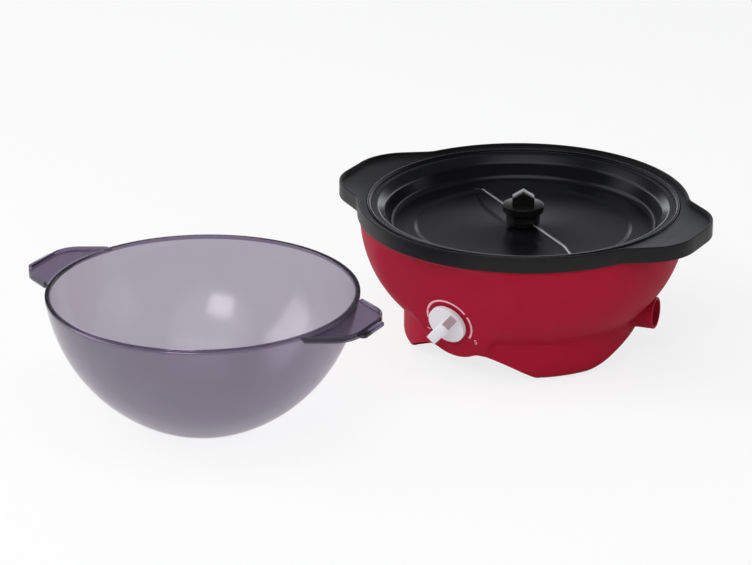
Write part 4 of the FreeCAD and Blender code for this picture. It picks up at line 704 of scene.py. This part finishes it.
# collar ring with its two handles
collarSettings = {
    "radius": 150.0, "top": 135.1, "bottom": 121.0, "wall": 2.2, "ledge": 132.1, "edge": 0.9,
    "seatRadius": 141.4, "seat": 128.1, "bore": 133.8, "under": 125.6, "web": 4.0, "steps": 720,
    "azimuth": 95.5, "reach": 176.0, "spread": 31.0, "neck": 8.0, "sweep": 22.0, "tipWidth": 80.0,
    "tipRound": 50.0,
}
cs = collarSettings
inner = cs["radius"] - cs["wall"]
webUnder = cs["ledge"] - cs["web"]
corners = [
    (cs["radius"], cs["bottom"], 0.4), (cs["radius"], cs["top"], cs["edge"]),
    (inner, cs["top"], cs["edge"]), (inner, cs["ledge"], 0.6),
]
outlineRows = roundedLine([(inner, cs["bottom"])] + corners + [(cs["seatRadius"], cs["ledge"])],
                          closed=False, steps=4)[1:-1]
ringRows = roundedLine([
    (inner, cs["ledge"]), (cs["seatRadius"], cs["ledge"], 0.5), (cs["seatRadius"], cs["seat"]),
    (cs["bore"], cs["seat"], 0.4), (cs["bore"], cs["under"]), (inner, cs["under"]), (inner, cs["bottom"])],
    closed=False, steps=3)[1:]
pocketRows = [("ring", cs["bottom"]), ("ring", webUnder), ("pocket", webUnder), ("pocket", cs["bottom"])]
# the pocket's rows start apart from all others, and are put in their places below
line = outlineRows + ringRows + [Vector((cs["radius"] + k + 1, cs["bottom"] - k)) for k in range(4)]
bm = spun(line, cs["steps"])
rows = {k: ("outline", cs["radius"] - spot.x, spot.y, None) for k, spot in enumerate(outlineRows)}
shut = (outlineRows[0].x, cs["bottom"], cs["wall"], 0.4)
layer = bm.verts.layers.int["row"]
first = len(outlineRows) + len(ringRows)
for vert in bm.verts:
    if vert[layer] >= first:
        way, height = pocketRows[vert[layer] - first]
        if way == "ring":
            ontoRing(vert, cs["radius"], height)
for k, (way, height) in enumerate(pocketRows):
    rows[first + k] = (way, cs["wall"], height, shut)
plan = earPlan(cs["radius"], cs["reach"], cs["spread"], cs["neck"], cs["sweep"], cs["tipWidth"],
               cs["tipRound"])
pullEars(bm, rows, plan, cs["azimuth"], cs["radius"])
addPiece("collarRing", bm, "collarBlack", "base", ["collar"], sharp=32)
print("collar done")


# pan
panSettings = {
    "radius": 141.0, "rim": 133.1, "bead": 2.6, "flangeDrop": 2.4, "flangeWidth": 6.8, "sheet": 1.6,
    "kneeDrop": 6.1, "kneeRun": 7.3, "kneeRound": 6.0, "wallRun": 4.3, "floor": 110.0,
    "floorRound": 6.0, "bossRadius": 9.0, "boss": 120.0, "bossBore": 5.2,
    "dishRadius": 98.5, "dishInner": 95.3, "dishDepth": 1.3, "dishRound": 4.0, "bossRound": 1.0,
    "bossFootRound": 2.0, "shoulderRound": 3.0, "rimRound": 1.2, "beadRound": 0.8, "steps": 240,
}
ps = panSettings
flange = ps["rim"] - ps["flangeDrop"]
wallRadius = ps["radius"] - ps["bead"] - ps["flangeWidth"]
kneeRadius = wallRadius - ps["kneeRun"]
knee = flange - ps["kneeDrop"]
floorRadius = kneeRadius - ps["wallRun"]
upperSlope = atan2(ps["kneeDrop"], ps["kneeRun"])
lowerSlope = atan2(knee - ps["floor"], ps["wallRun"])
beadInside = ps["radius"] - ps["bead"]
dished = ps["floor"] - ps["dishDepth"]


def underSheet(radius, height, slopeIn, slopeOut, rounding):
    # corner of the pan's outside below a corner of its inside
    middle = (slopeIn + slopeOut) / 2
    reach = ps["sheet"] / cos((slopeOut - slopeIn) / 2)
    return (radius + reach * sin(middle), height - reach * cos(middle), rounding)


panLine = roundedLine([
    (ps["bossBore"], ps["boss"]), (ps["bossRadius"], ps["boss"], ps["bossRound"]),
    (ps["bossRadius"], dished, ps["bossFootRound"]), (ps["dishInner"], dished, ps["dishRound"]),
    (ps["dishRadius"], ps["floor"], ps["dishRound"]), (floorRadius, ps["floor"], ps["floorRound"]),
    (kneeRadius, knee, ps["kneeRound"]), (wallRadius, flange, ps["shoulderRound"]),
    (beadInside, flange, ps["beadRound"]), (beadInside, ps["rim"], 0.9),
    (ps["radius"], ps["rim"], ps["rimRound"]), (ps["radius"], flange - ps["sheet"], ps["beadRound"]),
    underSheet(wallRadius, flange, upperSlope, 0, ps["shoulderRound"] - ps["sheet"]),
    underSheet(kneeRadius, knee, lowerSlope, upperSlope, ps["kneeRound"] - ps["sheet"]),
    underSheet(floorRadius, ps["floor"], 0, lowerSlope, ps["floorRound"] + ps["sheet"]),
    (ps["bossBore"], ps["floor"] - ps["sheet"])], steps=8)
addPiece("panCoated", spun(panLine, ps["steps"]), "nonStick", "base", ["pan"], sharp=40)
print("pan done")


# stirrer
stirrerSettings = {
    "low": 111.5, "seam": 116.2, "tierRadius": 15.3, "tierTop": 123.0, "discRadius": 18.6,
    "discTop": 129.7, "bore": 11.0, "cavity": 121.1, "groove": 0.5, "mark": 112.7,
    "gripWidth": 20.0, "gripDepth": 13.0, "eaves": 6.9, "ridge": 12.6, "gripAzimuth": 33.0,
    "gripSunk": 1.0, "edge": 0.5, "steps": 96,
}
ss = stirrerSettings
hubLine = roundedLine([
    (ss["bore"], ss["seam"]), (ss["tierRadius"], ss["seam"]), (ss["tierRadius"], ss["tierTop"], 0.4),
    (ss["discRadius"], ss["tierTop"], 0.8), (ss["discRadius"], ss["discTop"], 0.8),
    (0, ss["discTop"]), (0, ss["cavity"]), (ss["bore"], ss["cavity"])], steps=4)
bm = spun(hubLine, ss["steps"])
grip = bmesh.ops.create_cube(bm, size=1.0)["verts"]
gripFaces = list({face for vert in grip for face in vert.link_faces})
gripHeight = ss["eaves"] + ss["gripSunk"]
bmesh.ops.scale(bm, vec=Vector((ss["gripWidth"], ss["gripDepth"], gripHeight)) * mm, verts=grip)
bmesh.ops.translate(bm, vec=(0, 0, (ss["discTop"] + ss["eaves"] - gripHeight / 2) * mm), verts=grip)
gripEdges = list({edge for vert in grip for edge in vert.link_edges})
split = bmesh.ops.bisect_plane(bm, geom=grip + gripEdges + gripFaces, plane_co=(0, 0, 0),
                               plane_no=(1, 0, 0))["geom_cut"]
for vert in split:
    if isinstance(vert, bmesh.types.BMVert) and vert.co.z > ss["discTop"] * mm:
        vert.co.z = (ss["discTop"] + ss["ridge"]) * mm
gripVerts = set(grip) | {vert for vert in split if isinstance(vert, bmesh.types.BMVert)}
gripEdges = [edge for edge in bm.edges if gripVerts >= set(edge.verts) and edge.calc_face_angle(0) > 0.3]
gripVerts = list(gripVerts)
bmesh.ops.rotate(bm, verts=gripVerts, matrix=Matrix.Rotation(radians(ss["gripAzimuth"]), 3, "Z"))
roundEdges(bm, gripEdges, ss["edge"])
addPiece("stirrerCap", bm, "stirrerBlack", "stirrer", ["stirrer_hub"], sharp=40)

grooveFloor = ss["tierRadius"] - ss["groove"]
ringLine = roundedLine([
    (ss["bore"], ss["low"]), (grooveFloor, ss["low"], 0.3),
    (ss["tierRadius"], ss["low"] + ss["groove"], 0.2), (ss["tierRadius"], ss["mark"], 0.15),
    (grooveFloor, ss["mark"] + 0.1), (grooveFloor, ss["mark"] + 0.5),
    (ss["tierRadius"], ss["mark"] + 0.6, 0.15), (ss["tierRadius"], ss["seam"], 0.2),
    (ss["bore"], ss["seam"])], steps=3)
addPiece("stirrerFoot", spun(ringLine, ss["steps"]), "stirrerBlack", "stirrer", ["stirrer_ring"], sharp=40)
print("stirrer done")


# control knob and dial print
knobSettings = {
    "radius": 18.3, "lift": 1.0, "flange": 4.8, "edge": 1.0, "bossRadius": 5.6, "wall": 2.4,
    "barWidth": 9.6, "barHeight": 10.0, "slopeStart": 9.5, "slopeFoot": 1.5, "barRound": 0.6,
    "barSunk": 1.0, "bossLift": 0.5, "restAngle": 46.0,
}
ks = knobSettings
panelFrame = Matrix.Translation(panelCentre * mm) @ Matrix.Rotation(radians(90 + hs["panelTilt"]), 4, "X")
knobFrame = panelFrame @ Matrix.Rotation(radians(ks["restAngle"]), 4, "Z")
barFoot = ks["lift"] + ks["flange"]
barTop = barFoot + ks["barHeight"]
knobInside = ks["radius"] - ks["wall"]
skinUnder = barFoot - ks["wall"]
bossFoot = ks["lift"] + ks["bossLift"]
flangeLine = roundedLine([
    (knobInside, ks["lift"]), (ks["radius"], ks["lift"], 0.3), (ks["radius"], barFoot, ks["edge"]),
    (0, barFoot), (0, bossFoot), (ks["bossRadius"], bossFoot), (ks["bossRadius"], skinUnder),
    (knobInside, skinUnder)], steps=4)
bm = spun(flangeLine, 96)
bar = bmesh.ops.create_cube(bm, size=1.0)["verts"]
halfWidth = ks["barWidth"] / 2
barEnd = sqrt(ks["radius"] ** 2 - halfWidth ** 2)
for vert in bar:
    vert.co.x *= 2 * barEnd * mm
    vert.co.y *= 2 * halfWidth * mm
    vert.co.z = (barFoot - ks["barSunk"] if vert.co.z < 0 else barTop) * mm
barSet = set(bar)
for cut in (-barEnd + 0.01, ks["slopeStart"]):
    geom = [item for kind in (bm.verts, bm.edges, bm.faces) for item in kind
            if barSet >= set(getattr(item, "verts", [item]))]
    made = bmesh.ops.bisect_plane(bm, geom=geom, plane_co=(cut * mm, 0, 0), plane_no=(1, 0, 0))["geom_cut"]
    barSet |= {item for item in made if isinstance(item, bmesh.types.BMVert)}
for vert in barSet:
    if vert.co.x > barEnd * mm - 1e-6 and vert.co.z > barFoot * mm:
        vert.co.z = (barFoot + ks["slopeFoot"]) * mm
barEdges = [edge for edge in bm.edges if barSet >= set(edge.verts) and edge.calc_face_angle(0) > 0.3
            and max(v.co.z for v in edge.verts) > barFoot * mm]
roundEdges(bm, barEdges, ks["barRound"])
bm.transform(knobFrame)
addPiece("knobCap", bm, "knobSilver", "knob", ["knob"], sharp=40)

printSettings = {
    "radius": 22.9, "width": 1.9, "lift": 0.12, "arcs": ((160, 183), (35, 158), (-37, 26)),
    "tickAngle": 210, "tickRadius": 28.6, "tickLength": 3.4, "tickWidth": 1.2, "tickLean": -12,
    "numberAngle": -35, "numberRadius": 29.8, "numberSize": 7.0, "ink": 0.1,
}
pr = printSettings
bm = bmesh.new()  # drawn flat in millimetres, then laid onto the panel's curved face
for start, end in pr["arcs"]:
    first = [bm.verts.new((radius * cos(radians(start)), radius * sin(radians(start)), 0))
             for radius in (pr["radius"] - pr["width"] / 2, pr["radius"] + pr["width"] / 2)]
    edge = bm.edges.new(first)
    bmesh.ops.spin(bm, geom=first + [edge], axis=(0, 0, 1), angle=radians(end - start),
                   steps=max(4, (end - start) // 3))
tick = bmesh.ops.create_grid(bm, x_segments=4, y_segments=1, size=0.5)["verts"]
bmesh.ops.scale(bm, vec=(pr["tickLength"], pr["tickWidth"], 1), verts=tick)
bmesh.ops.rotate(bm, verts=tick, matrix=Matrix.Rotation(radians(pr["tickLean"]), 3, "Z"))
tickTurn = radians(pr["tickAngle"])
bmesh.ops.translate(bm, vec=Vector((cos(tickTurn), sin(tickTurn), 0)) * pr["tickRadius"], verts=tick)
textCurve = bpy.data.curves.new("dialNumber", "FONT")
textCurve.body = "5"
textCurve.size = pr["numberSize"]
textCurve.align_x, textCurve.align_y = "CENTER", "CENTER"
textHolder = bpy.data.objects.new("dialNumberHolder", textCurve)
numberMesh = bpy.data.meshes.new_from_object(textHolder)
numberTurn = radians(pr["numberAngle"])
numberMesh.transform(Matrix.Translation(
    Vector((cos(numberTurn), sin(numberTurn), 0)) * pr["numberRadius"]))
bm.from_mesh(numberMesh)
bpy.data.objects.remove(textHolder)
for vert in bm.verts:
    vert.co = panelPlace(vert.co.x, vert.co.y, pr["lift"]) * mm
printed = addPiece("dialMarks", bm, "dialPrint", "base")
ink = printed.modifiers.new("ink", "SOLIDIFY")
ink.thickness = pr["ink"] * mm
print("knob and dial done")


# serving bowl
bowlSettings = {
    "x": -126.9, "y": -309.4, "radius": 135.2, "height": 117.8, "wall": 2.2, "curve": 146.8,
    "floorRadius": 46.85, "rimWidth": 4.6, "rimHeight": 3.0, "azimuth": 96.5, "reach": 163.0,
    "spread": 25.0, "neck": 6.0, "sweep": 14.0, "tipWidth": 62.0, "tipRound": 26.0, "drop": 2.4,
    "border": 1.8, "borderHeight": 5.6, "web": 2.0, "steps": 540, "arcSteps": 48,
    "tabPast": 5.5, "tabWidth": 36.0, "tabRound": 4.0, "tabEdge": 0.7, "borderEdge": 0.4,
    "tint": (0.42, 0.385, 0.455), "deepTint": (0.17, 0.135, 0.21), "roughness": 0.10,
}
bs = bowlSettings
bowlPlace = Matrix.Translation((bs["x"] * mm, bs["y"] * mm, 0))
finishes["smokedClear"] = makeSmokedClear(
    "smokedClear", bs["tint"], bs["deepTint"], bowlPlace.translation, bs["radius"] * mm,
    (bs["height"] - bs["rimHeight"]) * mm, bs["roughness"])
finishNode("serving_bowl", "smokedClear")
chord = Vector((bs["radius"] - bs["floorRadius"], bs["height"]))
bowlMiddle = (Vector((bs["radius"] + bs["floorRadius"], bs["height"])) / 2
              + Vector((-chord.y, chord.x)).normalized() * sqrt(bs["curve"] ** 2 - (chord.length / 2) ** 2))


def bowlSide(inset, low, high, steps):
    # spots up the bowl's side between two heights, drawn in by an inset
    curve = bs["curve"] - inset
    first = asin((bowlMiddle[1] - low) / curve)
    last = asin((bowlMiddle[1] - high) / curve)
    return [Vector((bowlMiddle[0] + curve * cos(first + (last - first) * k / steps),
                    bowlMiddle[1] - curve * sin(first + (last - first) * k / steps)))
            for k in range(steps + 1)]


rim = bs["height"]
tabLow = rim - bs["borderHeight"]
webTop = rim - bs["drop"]
webLow = webTop - bs["web"]
outside = bowlSide(0, 0, tabLow, bs["arcSteps"])
webSpot = bowlSide(0, tabLow, webLow, 1)[-1]
rimSpot = bowlSide(0, tabLow, webTop, 1)[-1]
mouth = bs["radius"] - bs["rimWidth"]
insideTop = rim - bs["rimHeight"]
inside = list(reversed(bowlSide(bs["wall"], bs["wall"], insideTop, bs["arcSteps"])))
outerRows = [Vector((0, 0))] + outside
edge = bs["borderEdge"]
border = bs["border"]
earRows = [("wall", 0, webLow), ("pocket", border, webLow), ("pocket", border, tabLow), ("pocket", 0, tabLow),
           ("pocket", 0, rim - edge), ("pocket", edge, rim), ("pocket", border - edge, rim),
           ("pocket", border, rim - edge), ("pocket", border, webTop), ("wall", 0, webTop)]
rimRows = roundedLine([
    (bs["radius"], webTop), (bs["radius"], rim, 0.7), (mouth, rim, 0.7), (mouth, insideTop, 0.7),
    (inside[0].x, insideTop)], closed=False, steps=4)[:-1]
# the ears' rows start apart from all others, and are put in their places below
line = outerRows + [Vector((webSpot.x + 0.01 * k, webSpot.y + 0.01 * k)) for k in range(len(earRows))]
line += rimRows + inside + [Vector((0, bs["wall"]))]
bm = spun(line, bs["steps"], closed=False)
layer = bm.verts.layers.int["row"]
first = len(outerRows)
shut = (rimSpot.x, webTop, border, 1.0)
plan = earPlan(bs["radius"], bs["reach"], bs["spread"], bs["neck"], bs["sweep"], bs["tipWidth"],
               bs["tipRound"])
rows = {first + k: (*earRow, shut) for k, earRow in enumerate(earRows)}
wallSpots = {webLow: webSpot, webTop: rimSpot}
for vert in bm.verts:
    if vert[layer] in rows and rows[vert[layer]][0] == "wall":
        ontoRing(vert, *wallSpots[rows[vert[layer]][2]])
pullEars(bm, rows, plan, bs["azimuth"], bs["radius"])
bm.transform(bowlPlace)
addPiece("bowlClear", bm, "smokedClear", "bowl", ["serving_bowl"], sharp=40)

tabStart, tabEnd, tabHalf = bs["reach"] + 0.05, bs["reach"] + bs["tabPast"], bs["tabWidth"] / 2
tabLine = roundedLine([(tabStart, -tabHalf), (tabEnd, -tabHalf, bs["tabRound"]),
                       (tabEnd, tabHalf, bs["tabRound"]), (tabStart, tabHalf)])
bm = bmesh.new()
for azimuth in (bs["azimuth"], bs["azimuth"] + 180):
    turn = bowlPlace @ Matrix.Rotation(radians(azimuth - 90), 4, "Z")
    base = bm.faces.new([bm.verts.new(turn @ (spot.to_3d() * mm)) for spot in tabLine])
    bmesh.ops.translate(bm, verts=base.verts[:], vec=(0, 0, tabLow * mm))
    raised = bmesh.ops.extrude_face_region(bm, geom=[base], use_keep_orig=True)["geom"]
    tops = [item for item in raised if isinstance(item, bmesh.types.BMVert)]
    bmesh.ops.translate(bm, verts=tops, vec=(0, 0, (webTop - tabLow) * mm))
rims = [edge for edge in bm.edges if edge.is_manifold and edge.calc_face_angle(0) > 0.8]
roundEdges(bm, rims, bs["tabEdge"])
addPiece("bowlTabs", bm, "smokedClear", "bowl", sharp=40)
print("bowl done")


# floor and backdrop
floorSettings = {"size": 14.0, "level": -0.0002, "whiteness": 0.8, "inGloss": 0.15,
                 "colour": (0.86, 0.86, 0.86)}
backdropSettings = {
    "ambient": (0.40, 0.41, 0.43), "horizon": 0.13, "dark": 0.355, "overhead": (0.12, 0.12, 0.127),
    # the bright wall as gloss shows it: where it stands, nearness where it starts and is full
    "wall": ((*cameraSettings["look"], 0.0), -0.25, 0.5),
    "ahead": (1.7, 1.72, 1.77), "behind": (0.04, 0.04, 0.043),
    # soft boxes as gloss shows them: direction, nearness where they start and are full, brightness
    "boxes": (((0.26, -0.46, 0.85), 0.80, 0.98, 1.3), ((-0.80, -0.35, 0.48), 0.86, 0.98, 1.2)),
}
bm = bmesh.new()
bmesh.ops.create_grid(bm, x_segments=1, y_segments=1, size=floorSettings["size"] / 2)
floorMesh = bpy.data.meshes.new("floor")
bm.to_mesh(floorMesh)
bm.free()
floor = bpy.data.objects.new("floor", floorMesh)
bpy.context.scene.collection.objects.link(floor)
floor.location.z = floorSettings["level"]


def seenStraight(tree):
    # 1 for rays that show the background straight or through clear plastic, and the gloss ray flag
    path = addNode(tree, "ShaderNodeLightPath").outputs
    return addMath(tree, "MAXIMUM", path["Is Camera Ray"], path["Is Transmission Ray"]), path["Is Glossy Ray"]


material, tree, shader, output = newMaterial("paleFloor")
shader.inputs["Base Color"].default_value = plainColour(floorSettings["colour"])
shader.inputs["Roughness"].default_value = 0.9
shader.inputs["Specular IOR Level"].default_value = 0.1
glow = addNode(tree, "ShaderNodeEmission", Color=(1, 1, 1, 1), Strength=1.0)
straight, gloss = seenStraight(tree)
share = addMath(tree, "MAXIMUM", addMath(tree, "MULTIPLY", straight, floorSettings["whiteness"]),
                addMath(tree, "MULTIPLY", gloss, floorSettings["inGloss"]))
mix = addNode(tree, "ShaderNodeMixShader", _0=share, _1=shader.outputs[0], _2=glow.outputs[0])
tree.links.new(mix.outputs[0], output.inputs["Surface"])
floorMesh.materials.append(material)

world = bpy.data.worlds.new("studio")
bpy.context.scene.world = world
world.use_nodes = True
tree = world.node_tree
background = tree.nodes["Background"]
background.inputs["Strength"].default_value = 1.0
straight, gloss = seenStraight(tree)
direction = addNode(tree, "ShaderNodeTexCoord").outputs["Generated"]
upward = addNode(tree, "ShaderNodeSeparateXYZ", _0=direction).outputs["Z"]


def nearTo(facing, start, full):
    # 0 to 1 as a ray turns towards a direction
    nearness = addNode(tree, "ShaderNodeVectorMath", operation="DOT_PRODUCT", _0=direction,
                       _1=Vector(facing).normalized()).outputs["Value"]
    return addRamp(tree, nearness, start, full)


level = addMix(tree, nearTo(*backdropSettings["wall"]), plainColour(backdropSettings["behind"]),
               plainColour(backdropSettings["ahead"]))
climb = addRamp(tree, upward, backdropSettings["horizon"], backdropSettings["dark"])
shown = addMix(tree, climb, level, plainColour(backdropSettings["overhead"]))
for facing, start, full, brightness in backdropSettings["boxes"]:
    shown = addMix(tree, nearTo(facing, start, full), shown, plainColour([brightness] * 3))
shaded = addMix(tree, gloss, plainColour(backdropSettings["ambient"]), shown)
tone = addMix(tree, straight, shaded, (1, 1, 1, 1))
tree.links.new(tone, background.inputs["Color"])
print("floor and backdrop done")
